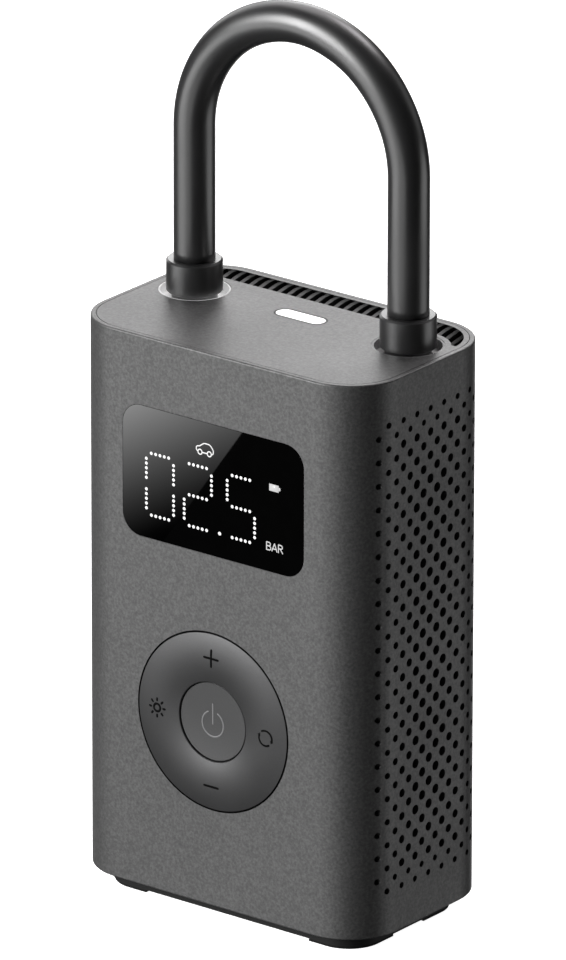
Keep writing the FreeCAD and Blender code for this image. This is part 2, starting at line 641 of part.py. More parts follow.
# motor: can, end cap, magnets, bushes and terminals
can_len = S.motor_x1 - S.motor_x0 - 3.5
node("motor_can", cut("motor_can", fuse("can_add", [
    rod("can_out", "x", S.motor_x0 + 3.5, ax, S.motor_z, S.motor_r, can_len),
    rod("can_nose", "x", S.motor_x1, ax, S.motor_z, 4.9, 2.3)]), [
    rod("can_in", "x", S.motor_x0 + 2.0, ax, S.motor_z, S.motor_r - 1.0, can_len - 0.0),
    rod("can_bush_hole", "x", S.motor_x1 - 3.0, ax, S.motor_z, 3.0, 8.0)]))
node("motor_end_cap", cut("motor_end_cap", rod(
    "cap_disc", "x", S.motor_x0, ax, S.motor_z, S.motor_r, 3.5), [
    rod("cap_bush_hole", "x", S.motor_x0 - 1.0, ax, S.motor_z, 3.0, 6.0)]))
node("motor_bushes", group("motor_bushes", [
    cut("bush_rear", rod("bush_rear_out", "x", S.motor_x0 + 0.8, ax, S.motor_z, 3.0, 2.7),
        [rod("bush_rear_in", "x", S.motor_x0, ax, S.motor_z, 1.19, 5.0)]),
    cut("bush_front", rod("bush_front_out", "x", S.motor_x1, ax, S.motor_z, 3.0, 2.3),
        [rod("bush_front_in", "x", S.motor_x1 - 1.0, ax, S.motor_z, 1.19, 5.0)])]))
ring_mag = cut("magnet_ring", rod("magnet_out", "x", -25.0, ax, S.motor_z,
                                  S.motor_r - 1.05, 22.0), [
    rod("magnet_in", "x", -26.0, ax, S.motor_z, 10.4, 24.0)])
node("motor_magnets", cut("motor_magnets", ring_mag, [
    box("magnet_split", -26.0, ax - 4.0, S.motor_z - 15.0, 24.0, 8.0, 30.0)]))
node("motor_terminals", group("motor_terminals", [
    box("terminal_a", S.motor_x0 - 1.8, ax - 8.0, S.motor_z + 5.0, 1.8, 2.4, 0.5),
    box("terminal_b", S.motor_x0 - 1.8, ax + 5.6, S.motor_z + 5.0, 1.8, 2.4, 0.5)]))
node("rotor_shaft", rod("rotor_shaft", "x", S.motor_x0 + 0.9, ax, S.motor_z, 1.15, 46.4))
poles = cut("rotor_core", cut("rotor_core_blank", rod(
    "core_out", "x", -23.0, ax, S.motor_z, 9.9, 18.0), [
    rod("core_in", "x", -24.0, ax, S.motor_z, 1.15, 20.0)]), [
    place(box("core_slot_%d" % i, 0, 0, 0, 20.0, 1.8, 4.0), -24.0,
          ax + (6.8 * math.cos(math.radians(72 * i)) - 0.9 * -math.sin(math.radians(72 * i))),
          S.motor_z + (6.8 * math.sin(math.radians(72 * i)) - 0.9 * math.cos(math.radians(72 * i))),
          FreeCAD.Rotation(V(1, 0, 0), 72 * i - 90))
    for i in range(5)])
node("rotor_core", poles)
node("commutator", cut("commutator", rod("comm_out", "x", -29.0, ax, S.motor_z, 3.2, 4.5), [
    rod("comm_in", "x", -30.0, ax, S.motor_z, 1.15, 8.0)]))


def gear_wire(teeth, module, start, slack, x):
    """One spur gear outline in the plane x, with a tooth centred at angle
    start (degrees from +Y towards +Z). slack is the backlash at the pitch
    circle, half of which is taken off each flank."""
    r = module * teeth / 2
    rb = r * math.cos(math.radians(20))
    ra, rf = r + module, r - 1.25 * module
    inv = lambda a: math.tan(a) - a
    half = math.pi / (2 * teeth) - slack / (2 * r)
    at = lambda rad: half + inv(math.radians(20)) - (
        inv(math.acos(rb / rad)) if rad > rb else 0.0)
    pts = []
    low = rb if rb > rf + 0.1 else rf
    for k in range(teeth):
        mid = math.radians(start) + 2 * math.pi * k / teeth
        radii = [low + (ra - low) * i / 3 for i in range(4)]
        left = [(rad, mid - at(rad)) for rad in radii]
        right = [(rad, mid + at(rad)) for rad in reversed(radii)]
        root = at(low)
        foot = [(rf, mid - root)], [(rf, mid + root)]
        pts += (foot[0] if low > rf else []) + left + right + (
            foot[1] if low > rf else [])
    p = [V(x, rad * math.cos(a), rad * math.sin(a)) for rad, a in pts]
    return Part.makePolygon(p + [p[0]])


def gear_solid(teeth, module, start, slack, x, t, bore):
    face = Part.Face(gear_wire(teeth, module, start, slack, x))
    solid = face.extrude(V(t, 0, 0))
    return solid.cut(Part.makeCylinder(bore, t + 2, V(x - 1, 0, 0), V(1, 0, 0)))


# pinion on the motor shaft, with a gap under the wheel's lowest tooth
pin = doc.addObject("Part::Feature", "pinion")
pin.Shape = gear_solid(int(SIZES["pin_teeth"]), SIZES["module"], 90 + 15, 0.12,
                       0.0, 5.4, 1.15)
place(pin, tx + S.frame_t + 0.9, ax, S.motor_z)
node("pinion", pin)
# crank wheel: a tooth points straight down into the pinion's gap
wheel = doc.addObject("Part::Feature", "wheel_teeth")
wheel.Shape = gear_solid(int(SIZES["gear_teeth"]), SIZES["module"], -90, 0.12,
                         0.0, 5.0, 1.6)
place(wheel, tx + S.frame_t + 1.1, ax, CRANK_Z)
lighten = [rod("wheel_light_%d" % i, "x", 6.0,
               ax + 9.2 * math.cos(math.radians(60 * i + 30)),
               CRANK_Z + 9.2 * math.sin(math.radians(60 * i + 30)), 2.4, 10.0)
           for i in range(6) if i != 1]
pin_hole = rod("wheel_pin_hole", "x", 6.0, ax, CRANK_Z + S.crank, 1.5, 10.0)
node("crank_wheel", cut("crank_wheel", wheel, lighten + [pin_hole]))
node("crank_axle", rod("crank_axle", "x", tx - 0.4, ax, CRANK_Z, 1.6, 9.0))
node("crank_pin", rod("crank_pin", "x", tx + S.frame_t + 1.1, ax, CRANK_Z + S.crank,
                      1.5, 12.3))
# one-piece piston and rod
big_z = CRANK_Z + S.crank
rod_add = fuse("piston_add", [
    rod("rod_eye", "x", S.rod_x - 2.2, ax, big_z, 4.0, 4.4),
    box("rod_bar", S.rod_x - 1.6, ax - 2.0, big_z + 2.6, 3.2, 4.0, 24.4),
    rod("piston_low", "z", S.rod_x, ax, big_z + 26.0, 5.6, 1.8),
    rod("piston_stem", "z", S.rod_x, ax, big_z + 27.0, 3.4, 2.6)])
node("piston_rod", cut("piston_rod", rod_add, [
    rod("rod_bore", "x", S.rod_x - 5.0, ax, big_z, 1.54, 10.0)]))
node("piston_cup", cut("piston_cup", rod(
    "cup_out", "z", S.rod_x, ax, big_z + 27.8, 5.7, 1.8), [
    rod("cup_in", "z", S.rod_x, ax, big_z + 27.0, 3.4, 4.0)]))
# cylinder with cooling fins, gasket plate, head
fins = [rod("fin_%d" % i, "z", S.rod_x, ax, S.barrel_z0 + 4.2 + 2.6 * i, 12.6, 1.1)
        for i in range(4)]
node("cylinder", cut("cylinder", fuse("cylinder_add", [
    rod("barrel_out", "z", S.rod_x, ax, S.barrel_z0 + 2.5, S.barrel_r,
        S.barrel_z1 - S.barrel_z0 - 2.5),
    rod("barrel_spigot", "z", S.rod_x, ax, S.barrel_z0, S.barrel_r - 0.85, 3.0)] + fins), [
    rod("barrel_bore", "z", S.rod_x, ax, S.barrel_z0 - 1.0, S.bore_r, 20.0)]
    + [rod("fin_notch_%d" % i, "z", S.rod_x + sx * 9.6, ax + sy * 9.6,
           S.barrel_z0 + 3.0, 1.6, 16.0)
       for i, (sx, sy) in enumerate(((-1, -1), (1, -1), (-1, 1), (1, 1)))]))
tie = [(-1, -1), (1, -1), (-1, 1), (1, 1)]
node("valve_plate", cut("valve_plate", box(
    "valve_plate_box", S.rod_x - 12.4, ax - 12.4, S.barrel_z1, 24.8, 24.8, 0.8), [
    rod("valve_plate_hole", "z", S.rod_x, ax, S.barrel_z1 - 1.0, 1.3, 4.0)]
    + [rod("valve_tie_%d" % i, "z", S.rod_x + sx * 9.6, ax + sy * 9.6,
           S.barrel_z1 - 1.0, 1.25, 4.0) for i, (sx, sy) in enumerate(tie)]))
head_z = S.barrel_z1 + 0.8
node("cylinder_head", cut("cylinder_head", fuse("head_add", [
    box("head_block", S.rod_x - 12.4, ax - 12.4, head_z, 24.8, 24.8,
        S.head_z1 - head_z),
    rod("head_nipple", "x", S.rod_x - 16.4, ax, head_z + 3.0, 1.9, 6.0)]), [
    rod("valve_room", "z", S.rod_x, ax, head_z - 1.0, 3.2, 5.6),
    rod("outlet_way", "x", S.rod_x - 18.0, ax, head_z + 3.0, 1.1, 18.0)]
    + [rod("head_tie_%d" % i, "z", S.rod_x + sx * 9.6, ax + sy * 9.6,
           head_z - 1.0, 1.25, 10.0) for i, (sx, sy) in enumerate(tie)]))
node("head_screws", group("head_screws", [fuse("head_screw_%d" % i, [
    rod("head_screw_cap_%d" % i, "z", S.rod_x + sx * 9.6, ax + sy * 9.6, S.head_z1,
        2.1, 1.5),
    rod("head_screw_bar_%d" % i, "z", S.rod_x + sx * 9.6, ax + sy * 9.6, 82.2,
        1.2, S.head_z1 - 82.2)]) for i, (sx, sy) in enumerate(tie)]))
node("valve_disc", rod("valve_disc", "z", S.rod_x, ax, head_z + 0.02, 2.6, 0.8))
helix = Part.makeHelix(0.75, 3.0, 2.0)
helix.Placement = FreeCAD.Placement()
start_edge = helix.Edges[0]
first = start_edge.valueAt(start_edge.FirstParameter)
tangent = start_edge.tangentAt(start_edge.FirstParameter)
ring_wire = Part.Wire([Part.Circle(first, tangent, 0.17).toShape()])
coil_shape = Part.Wire(helix.Edges).makePipeShell([ring_wire], True, True)
coil = doc.addObject("Part::Feature", "valve_spring")
coil.Shape = coil_shape
place(coil, S.rod_x, ax, head_z + 1.12)
node("valve_spring", coil)


# ------------------------------------------------------------ tube routes ----
def routed(label, pts, radius, hole, say=True, rule=0.45):
    """A tube along straight runs joined by tangent arcs, each as large as its
    two runs allow. Returns the node and prints the radii."""
    pts = [V(*p) for p in pts]
    runs = [(pts[i + 1] - pts[i]).Length for i in range(len(pts) - 1)]
    edges, here, length, radii = [], pts[0], 0.0, []
    for i in range(1, len(pts) - 1):
        a, b = (pts[i - 1] - pts[i]).normalize(), (pts[i + 1] - pts[i]).normalize()
        turn = math.pi - a.getAngle(b)
        back = rule * min(runs[i - 1], runs[i])
        rad = back / math.tan(turn / 2)
        p, q = pts[i] + a * back, pts[i] + b * back
        bis = (a + b).normalize()
        mid = pts[i] + bis * (rad / math.cos(turn / 2) - rad)
        edges.append(Part.LineSegment(here, p).toShape())
        edges.append(Part.Arc(p, mid, q).toShape())
        length += (p - here).Length + rad * turn
        radii.append(round(rad, 2))
        here = q
    edges.append(Part.LineSegment(here, pts[-1]).toShape())
    length += (pts[-1] - here).Length
    path = Part.Wire(edges)
    along = (pts[1] - pts[0]).normalize()
    solids = []
    for rr in (radius, hole):
        if not rr:
            continue
        prof = Part.Wire([Part.Circle(pts[0], along, rr).toShape()])
        solids.append(path.makePipeShell([prof], True, False))
    shape = solids[0] if len(solids) == 1 else solids[0].cut(solids[1])
    area_ = math.pi * (radius ** 2 - (hole or 0) ** 2)
    if say:
        print("%s: length %.1f, radii %s, volume / (section x length) %.4f" % (
            label, length, radii, shape.Volume / (area_ * length)))
    o = doc.addObject("Part::Feature", label)
    o.Shape = shape
    place(o, 0, 0, 0)
    node(label, o)
    return o


# hose: two straight legs and a half circle between the posts, as five equal
# turns; the half circle's centre is one leg above the collars
R_ARCH = SIZES["post_x"]
turn = math.radians(180.0 / 5)
reach = R_ARCH * math.tan(turn / 2)
far = R_ARCH / math.cos(turn / 2)
zc = SIZES["hose_z"] + SIZES["leg"]
route = [(-R_ARCH, SIZES["post_y"], SIZES["hose_z"])]
for i in range(5):
    a = math.pi - (i + 0.5) * turn
    route.append((far * math.cos(a), SIZES["post_y"], zc + far * math.sin(a)))
route.append((R_ARCH, SIZES["post_y"], SIZES["hose_z"]))
print("hose route", [tuple(round(c, 3) for c in p) for p in route])
routed("air_hose", route, SIZES["hose_d"] / 2, SIZES["hose_in"] / 2)

# delivery tube from the head's nipple to the outlet bush, behind the display
pipe = [(SIZES["rod_x"] - 12.9, SIZES["axis_y"], 101.0),
        (-6.0, SIZES["axis_y"], 101.0), (-22.0, SIZES["post_y"], 99.0),
        (-SIZES["post_x"], SIZES["post_y"], 102.5), (-SIZES["post_x"], SIZES["post_y"], 107.1)]
routed("delivery_tube", pipe, 2.9, 1.95)

# ------------------------------------------------- outlet and stow fittings ----
# outlet bush: a bright cup in the left pocket with a threaded stem under it
z0 = Q.of(106.0)
node("outlet_bush", turned("outlet_bush", [
    (4.05, 3.2), (5.9, 3.2), (5.9, TOP - S.cap_t - 2.0 - z0), (8.6, TOP - S.cap_t - 2.0 - z0),
    (8.6, TOP - S.cap_t - z0), (S.pocket_r - 0.02, TOP - S.cap_t - z0),
    (S.pocket_r - 0.02, TOP - 0.06 - z0), (S.pocket_r - 0.4, TOP - 0.06 - z0),
    (S.pocket_r - 0.4, S.pocket_z - z0), (4.05, S.pocket_z - z0)],
    -S.post_x, S.post_y, z0))
node("outlet_nipple", turned("outlet_nipple", [
    (1.1, 0.0), (1.9, 0.0), (1.9, 3.2), (5.9, 3.2), (5.9, 5.2), (1.1, 5.2)],
    -S.post_x, S.post_y, Q.of(104.0) - 0.0))
# hose tail and collar on the outlet side
node("outlet_collar", turned("outlet_collar", [
    (1.6, 0.0), (4.0, 0.0), (4.0, 7.5), (S.neck_r, 7.5),
    (S.neck_r, S.collar_z - 111.6), (S.collar_r - 0.3, S.collar_z - 111.6),
    (S.collar_r, S.collar_z - 111.3), (S.collar_r, S.hose_z - 111.6 - 0.35),
    (S.collar_r - 0.35, S.hose_z - 111.6), (1.6, S.hose_z - 111.6)],
    -S.post_x, S.post_y, Q.of(111.6)))
# stow socket in the right pocket
node("stow_socket", turned("stow_socket", [
    (0.0, 0.0), (6.4, 0.0), (6.4, TOP - S.cap_t - 2.0 - S.socket_z),
    (8.6, TOP - S.cap_t - 2.0 - S.socket_z), (8.6, TOP - S.cap_t - S.socket_z),
    (S.pocket_r - 0.02, TOP - S.cap_t - S.socket_z),
    (S.pocket_r - 0.02, TOP - 0.06 - S.socket_z),
    (S.pocket_r - 0.5, TOP - 0.06 - S.socket_z),
    (S.pocket_r - 0.5, S.pocket_z - S.socket_z),
    (S.socket_r, S.pocket_z - S.socket_z), (S.socket_r, 1.4), (0.0, 1.4)],
    S.post_x, S.post_y, S.socket_z))
# valve chuck: a stem on the hose, a collar that turns on it, and a washer
node("hose_stem", turned("hose_stem", [
    (1.4, 0.0), (3.0, 0.0), (3.0, 11.2), (4.2, 11.2), (4.2, S.hose_z - 115.0),
    (1.4, S.hose_z - 115.0)], S.post_x, S.post_y, Q.of(115.0)))
node("valve_collar", turned("valve_collar", [
    (3.85, 0.0), (4.6, 0.0), (S.neck_r, 0.3), (S.neck_r, S.collar_z - S.chuck_z),
    (S.collar_r - 0.3, S.collar_z - S.chuck_z), (S.collar_r, S.collar_z - S.chuck_z + 0.3),
    (S.collar_r, S.hose_z - S.chuck_z - 0.35), (S.collar_r - 0.35, S.hose_z - S.chuck_z),
    (4.26, S.hose_z - S.chuck_z), (4.26, 126.1 - S.chuck_z), (3.06, 126.1 - S.chuck_z),
    (3.06, 115.9 - S.chuck_z), (3.85, 115.9 - S.chuck_z)],
    S.post_x, S.post_y, S.chuck_z))
node("valve_washer", turned("valve_washer", [
    (1.4, 0.0), (3.8, 0.0), (3.8, 0.8), (1.4, 0.8)],
    S.post_x, S.post_y, Q.of(114.15)))

# --------------------------------------------------------------- checks ----
doc.recompute()
bad = [o.Name for o in doc.Objects if "Invalid" in o.State or "Error" in o.State]
if bad:
    raise RuntimeError("failed features: %s" % bad)
os.makedirs("parts", exist_ok=True)
for name in os.listdir("parts"):
    if name.endswith(".step") and name[:-5] not in nodes:
        os.remove(os.path.join("parts", name))
for label, obj in nodes.items():
    shape = obj.Shape
    if shape.isNull() or not shape.isValid() or not shape.Solids:
        raise RuntimeError("bad shape: " + label)
    if min(sol.Volume for sol in shape.Solids) <= 0:
        raise RuntimeError("inside-out solid: " + label)
    shape.exportStep("parts/%s.step" % label)
    bb = shape.BoundBox
    print("%-20s %2d solid(s) %9.1f mm3  x %7.2f %7.2f  y %7.2f %7.2f  z %7.2f %7.2f" % (
        label, len(shape.Solids), shape.Volume, bb.XMin, bb.XMax, bb.YMin, bb.YMax,
        bb.ZMin, bb.ZMax))
print(len(nodes), "nodes")
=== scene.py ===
"""Cordless tyre inflator with its hose stowed as a carrying loop: looks, light and camera."""

import math

import bmesh
import bpy
from mathutils import Matrix, Vector


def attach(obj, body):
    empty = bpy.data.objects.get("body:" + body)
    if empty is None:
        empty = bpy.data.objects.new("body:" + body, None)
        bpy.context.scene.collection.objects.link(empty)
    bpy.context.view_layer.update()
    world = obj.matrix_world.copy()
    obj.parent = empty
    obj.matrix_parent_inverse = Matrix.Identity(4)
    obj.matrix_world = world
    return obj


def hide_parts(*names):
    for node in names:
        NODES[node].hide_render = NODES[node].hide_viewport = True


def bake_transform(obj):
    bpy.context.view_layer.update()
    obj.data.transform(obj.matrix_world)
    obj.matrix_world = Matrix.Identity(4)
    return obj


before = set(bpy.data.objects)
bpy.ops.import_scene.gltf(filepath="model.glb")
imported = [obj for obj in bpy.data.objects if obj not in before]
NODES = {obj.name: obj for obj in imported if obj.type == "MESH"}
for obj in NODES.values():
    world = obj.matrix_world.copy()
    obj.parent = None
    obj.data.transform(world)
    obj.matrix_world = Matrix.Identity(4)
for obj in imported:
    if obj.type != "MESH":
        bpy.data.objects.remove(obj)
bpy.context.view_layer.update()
SCENE = bpy.context.scene
MM = 0.001
LIFT = 1.6  # millimetre heights below are counted from a plane this far above the ground


# ------------------------------------------------------------------ camera
AZ, EL, ROLL = math.radians(37.853), math.radians(20.478), math.radians(0.086)
RIGHT = Vector((math.cos(AZ), math.sin(AZ), 0.0))
BACK = Vector((math.sin(AZ) * math.cos(EL), -math.cos(AZ) * math.cos(EL), math.sin(EL)))
UP = BACK.cross(RIGHT)
cam_right = RIGHT * math.cos(ROLL) + UP * math.sin(ROLL)
cam_up = UP * math.cos(ROLL) - RIGHT * math.sin(ROLL)
aim = RIGHT * 0.000147 + Vector((0, 0, 0.08767 + LIFT * MM))
cam_data = bpy.data.cameras.new("camera")
cam_data.sensor_width = 36.0
cam_data.lens = 13666.548 / 960 * 36.0
cam_data.clip_start, cam_data.clip_end = 0.05, 30.0
camera = bpy.data.objects.new("camera", cam_data)
SCENE.collection.objects.link(camera)
turn = Matrix((cam_right, cam_up, BACK)).transposed().to_4x4()
camera.matrix_world = Matrix.Translation(aim + BACK * 2.7562) @ turn
SCENE.camera = camera


# ----------------------------------------------------------- mesh helpers
def new_object(name, verts, faces, smooth=True):
    """A mesh object from millimetre points."""
    mesh = bpy.data.meshes.new(name)
    mesh.from_pydata([(x * MM, y * MM, (z + LIFT) * MM) for x, y, z in verts], [], faces)
    mesh.validate()
    bm = bmesh.new()
    bm.from_mesh(mesh)
    bmesh.ops.recalc_face_normals(bm, faces=bm.faces)
    bm.to_mesh(mesh)
    bm.free()
    if smooth:
        mesh.shade_smooth()
    obj = bpy.data.objects.new(name, mesh)
    SCENE.collection.objects.link(obj)
    return obj


def circle_through(a, b, c):
    """Centre and radius of the circle through three (u, v) points."""
    ax, ay = a
    bx, by = b
    cx, cy = c
    d = 2 * (ax * (by - cy) + bx * (cy - ay) + cx * (ay - by))
    ux = ((ax**2 + ay**2) * (by - cy) + (bx**2 + by**2) * (cy - ay) + (cx**2 + cy**2) * (ay - by)) / d
    uy = ((ax**2 + ay**2) * (cx - bx) + (bx**2 + by**2) * (ax - cx) + (cx**2 + cy**2) * (bx - ax)) / d
    return (ux, uy), math.hypot(ax - ux, ay - uy)


PAD_Z = 42.25
RING_C, RING_R = circle_through((18.87, 1.95), (13.6, 2.55), (8.63, 2.10))
KEY_C, KEY_R = circle_through((8.18, 5.25), (4.3, 5.1525), (0.0, 5.12))


def on_ring(x, z):
    """y of the convex face of the four-way ring."""
    r = math.hypot(x, z - PAD_Z)
    return -(20.75 + RING_C[1] + math.sqrt(max(RING_R**2 - (r - RING_C[0]) ** 2, 0.0)))


def on_key(x, z):
    """y of the hollow face of the centre key."""
    r = math.hypot(x, z - PAD_Z)
    return -(17.35 + KEY_C[1] - math.sqrt(max(KEY_R**2 - (r - KEY_C[0]) ** 2, 0.0)))


def on_window(x, z):
    return -22.65


def stroke(store, pts, width, surface, closed=False, proud=0.022, sunk=0.03, ends=True):
    """A printed line of constant width along (x, z) points, laid on a surface
    as a thin closed strip with rounded ends."""
    verts, faces = store
    pts = [Vector(p) for p in pts]
    fine = []
    n = len(pts)
    spans = n if closed else n - 1
    for i in range(spans):
        a, b = pts[i], pts[(i + 1) % n]
        k = max(1, int((b - a).length / 0.16))
        fine += [a.lerp(b, j / k) for j in range(k)]
    if not closed:
        fine.append(pts[-1])
    m = len(fine)
    rows = []
    for i in range(m):
        prev = fine[(i - 1) % m] if closed or i else fine[i]
        nxt = fine[(i + 1) % m] if closed or i < m - 1 else fine[i]
        t = (nxt - prev).normalized()
        rows.append((fine[i], t, width / 2))
    if not closed and ends:
        h = width / 2
        head, tail = rows[0], rows[-1]
        lead = [(head[0] - head[1] * h * math.sin(a), head[1], h * math.cos(a))
                for a in (math.radians(80), math.radians(60), math.radians(30))]
        trail = [(tail[0] + tail[1] * h * math.sin(a), tail[1], h * math.cos(a))
                 for a in (math.radians(30), math.radians(60), math.radians(80))]
        rows = lead + rows + trail
    base = len(verts)
    for p, t, h in rows:
        side = Vector((-t.y, t.x))
        for s in (-1.0, 0.0, 1.0):
            q = p + side * h * s
            verts.append((q.x, surface(q.x, q.y) - proud * (1.0 if s == 0 else 0.7), q.y))
        for s in (1.0, -1.0):
            q = p + side * h * s
            verts.append((q.x, surface(q.x, q.y) + sunk, q.y))
    count = len(rows)
    last = count if closed else count - 1
    for i in range(last):
        a, b = base + 5 * i, base + 5 * ((i + 1) % count)
        for j in range(5):
            faces.append((a + j, a + (j + 1) % 5, b + (j + 1) % 5, b + j))
    if not closed:
        faces.append(tuple(base + j for j in range(5)))
        faces.append(tuple(base + 5 * (count - 1) + j for j in reversed(range(5))))


def dot(store, x, z, r, surface, proud=0.022, sunk=0.03, sides=20):
    """A round, slightly domed spot."""
    verts, faces = store
    base = len(verts)
    rings = ((1.0, -sunk), (1.0, proud * 0.55), (0.8, proud * 0.9), (0.4, proud))
    for k, up in rings:
        for i in range(sides):
            a = 2 * math.pi * i / sides
            px, pz = x + r * k * math.cos(a), z + r * k * math.sin(a)
            verts.append((px, surface(px, pz) - up, pz))
    for row in range(len(rings) - 1):
        for i in range(sides):
            a, b = base + row * sides + i, base + row * sides + (i + 1) % sides
            faces.append((a, b, b + sides, a + sides))
    faces.append(tuple(base + i for i in reversed(range(sides))))
    faces.append(tuple(base + (len(rings) - 1) * sides + i for i in range(sides)))


def patch(store, pts, surface, proud=0.022, sunk=0.03):
    """A small filled flat shape with a convex outline of (x, z) points."""
    verts, faces = store
    base = len(verts)
    n = len(pts)
    for x, z in pts:
        verts.append((x, surface(x, z) - proud, z))
    for x, z in pts:
        verts.append((x, surface(x, z) + sunk, z))
    faces.append(tuple(base + i for i in range(n)))
    faces.append(tuple(base + n + i for i in reversed(range(n))))
    for i in range(n):
        j = (i + 1) % n
        faces.append((base + i, base + n + i, base + n + j, base + j))


def arc(cx, cz, r, a0, a1, step=9.0):
    """(x, z) points along an arc, in degrees anticlockwise from +X."""
    k = max(2, int(abs(a1 - a0) / step))
    return [(cx + r * math.cos(math.radians(a0 + (a1 - a0) * i / k)),
             cz + r * math.sin(math.radians(a0 + (a1 - a0) * i / k))) for i in range(k + 1)]


# -------------------------------------------------------------- node tools
FACE_Z = 121.0 + LIFT  # the top face above the ground


def shader(name, color, rough, metal=0.0, ior=1.5):
    mat = bpy.data.materials.new(name)
    mat.use_nodes = True
    tree = mat.node_tree
    bsdf = tree.nodes["Principled BSDF"]
    bsdf.inputs["Base Color"].default_value = (*color, 1.0)
    bsdf.inputs["Roughness"].default_value = rough
    bsdf.inputs["Metallic"].default_value = metal
    bsdf.inputs["IOR"].default_value = ior
    return mat, tree, bsdf


def coords(tree, stretch=None):
    tc = tree.nodes.new("ShaderNodeTexCoord")
    if stretch is None:
        return tc.outputs["Object"]
    mp = tree.nodes.new("ShaderNodeMapping")
    mp.inputs["Scale"].default_value = stretch
    tree.links.new(tc.outputs["Object"], mp.inputs["Vector"])
    return mp.outputs["Vector"]


def noise(tree, scale, detail=3.0, rough=0.55, where=None):
    nz = tree.nodes.new("ShaderNodeTexNoise")
    nz.inputs["Scale"].default_value = scale
    nz.inputs["Detail"].default_value = detail
    nz.inputs["Roughness"].default_value = rough
    tree.links.new(where or coords(tree), nz.inputs["Vector"])
    return nz.outputs["Fac"]


def ramp(tree, fac, stops):
    """Colour ramp; stops are (position, grey or colour)."""
    rp = tree.nodes.new("ShaderNodeValToRGB")
    el = rp.color_ramp.elements
    while len(el) < len(stops):
        el.new(0.5)
    for e, (pos, col) in zip(el, stops):
        e.position = pos
        col = col if isinstance(col, (tuple, list)) else (col, col, col)
        e.color = (*col, 1.0)
    tree.links.new(fac, rp.inputs["Fac"])
    return rp.outputs["Color"]


def span(tree, fac, lo, hi, from_lo=0.3, from_hi=0.7):
    mr = tree.nodes.new("ShaderNodeMapRange")
    mr.inputs["From Min"].default_value = from_lo
    mr.inputs["From Max"].default_value = from_hi
    mr.inputs["To Min"].default_value = lo
    mr.inputs["To Max"].default_value = hi
    tree.links.new(fac, mr.inputs["Value"])
    return mr.outputs["Result"]


def bump(tree, bsdf, height, depth_mm, strength=1.0, chain=None):
    bp = tree.nodes.new("ShaderNodeBump")
    bp.inputs["Distance"].default_value = depth_mm * MM
    bp.inputs["Strength"].default_value = strength
    tree.links.new(height, bp.inputs["Height"])
    if chain is not None:
        tree.links.new(chain, bp.inputs["Normal"])
    tree.links.new(bp.outputs["Normal"], bsdf.inputs["Normal"])
    return bp.outputs["Normal"]


def surfaced(name, color, rough, metal=0.0, grain=900.0, depth=0.01, vary=0.12,
             rough_vary=0.06, broad=60.0, detail=3.0, stretch=None):
    """A finish with fine grain in colour, roughness and relief, and a broad,
    faint unevenness, as moulding and handling leave."""
    mat, tree, bsdf = shader(name, color, rough, metal)
    where = coords(tree, stretch)
    fine = noise(tree, grain, detail, 0.6, where)
    wide = noise(tree, broad, 2.0, 0.5)
    lo = tuple(c * (1 - vary) for c in color)
    hi = tuple(min(c * (1 + vary), 1.0) for c in color)
    mix = tree.nodes.new("ShaderNodeMix")
    mix.data_type = "RGBA"
    mix.inputs["Factor"].default_value = 0.25
    tree.links.new(ramp(tree, fine, [(0.32, lo), (0.68, hi)]), mix.inputs["A"])
    tree.links.new(ramp(tree, wide, [(0.3, lo), (0.7, hi)]), mix.inputs["B"])
    tree.links.new(mix.outputs["Result"], bsdf.inputs["Base Color"])
    tree.links.new(span(tree, wide, max(rough - rough_vary, 0.02), min(rough + rough_vary, 1.0)),
                   bsdf.inputs["Roughness"])
    bump(tree, bsdf, fine, depth)
    return mat


def glowing(name, color, strength, rough=0.35, body=1.0):
    """A lit surface; body is how much of the colour it shows unlit."""
    mat, tree, bsdf = shader(name, color, rough)
    spots = noise(tree, 2500.0, 1.0)
    tree.links.new(ramp(tree, spots, [(0.3, tuple(c * 0.94 * body for c in color)),
                                      (0.7, tuple(c * body for c in color))]),
                   bsdf.inputs["Base Color"])
    bsdf.inputs["Emission Color"].default_value = (*color, 1.0)
    bsdf.inputs["Emission Strength"].default_value = strength
    return mat


def far_from_axis(tree, z_mm):
    """Distance from the line along Y at x = 0, z = z_mm, near the front; a metre more behind."""
    shift = tree.nodes.new("ShaderNodeVectorMath")
    shift.operation = "SUBTRACT"
    shift.inputs[1].default_value = (0.0, 0.0, (z_mm + LIFT) * MM)
    tree.links.new(coords(tree), shift.inputs[0])
    flat = tree.nodes.new("ShaderNodeVectorMath")
    flat.operation = "MULTIPLY"
    flat.inputs[1].default_value = (1.0, 0.0, 1.0)
    tree.links.new(shift.outputs["Vector"], flat.inputs[0])
    size = tree.nodes.new("ShaderNodeVectorMath")
    size.operation = "LENGTH"
    tree.links.new(flat.outputs["Vector"], size.inputs[0])
    apart = tree.nodes.new("ShaderNodeSeparateXYZ")
    tree.links.new(coords(tree), apart.inputs["Vector"])
    behind = tree.nodes.new("ShaderNodeMath")
    behind.operation = "GREATER_THAN"
    behind.inputs[1].default_value = -15.0 * MM
    tree.links.new(apart.outputs["Y"], behind.inputs[0])
    total = tree.nodes.new("ShaderNodeMath")
    total.operation = "ADD"
    tree.links.new(size.outputs["Value"], total.inputs[0])
    tree.links.new(behind.outputs["Value"], total.inputs[1])
    return total.outputs["Value"]


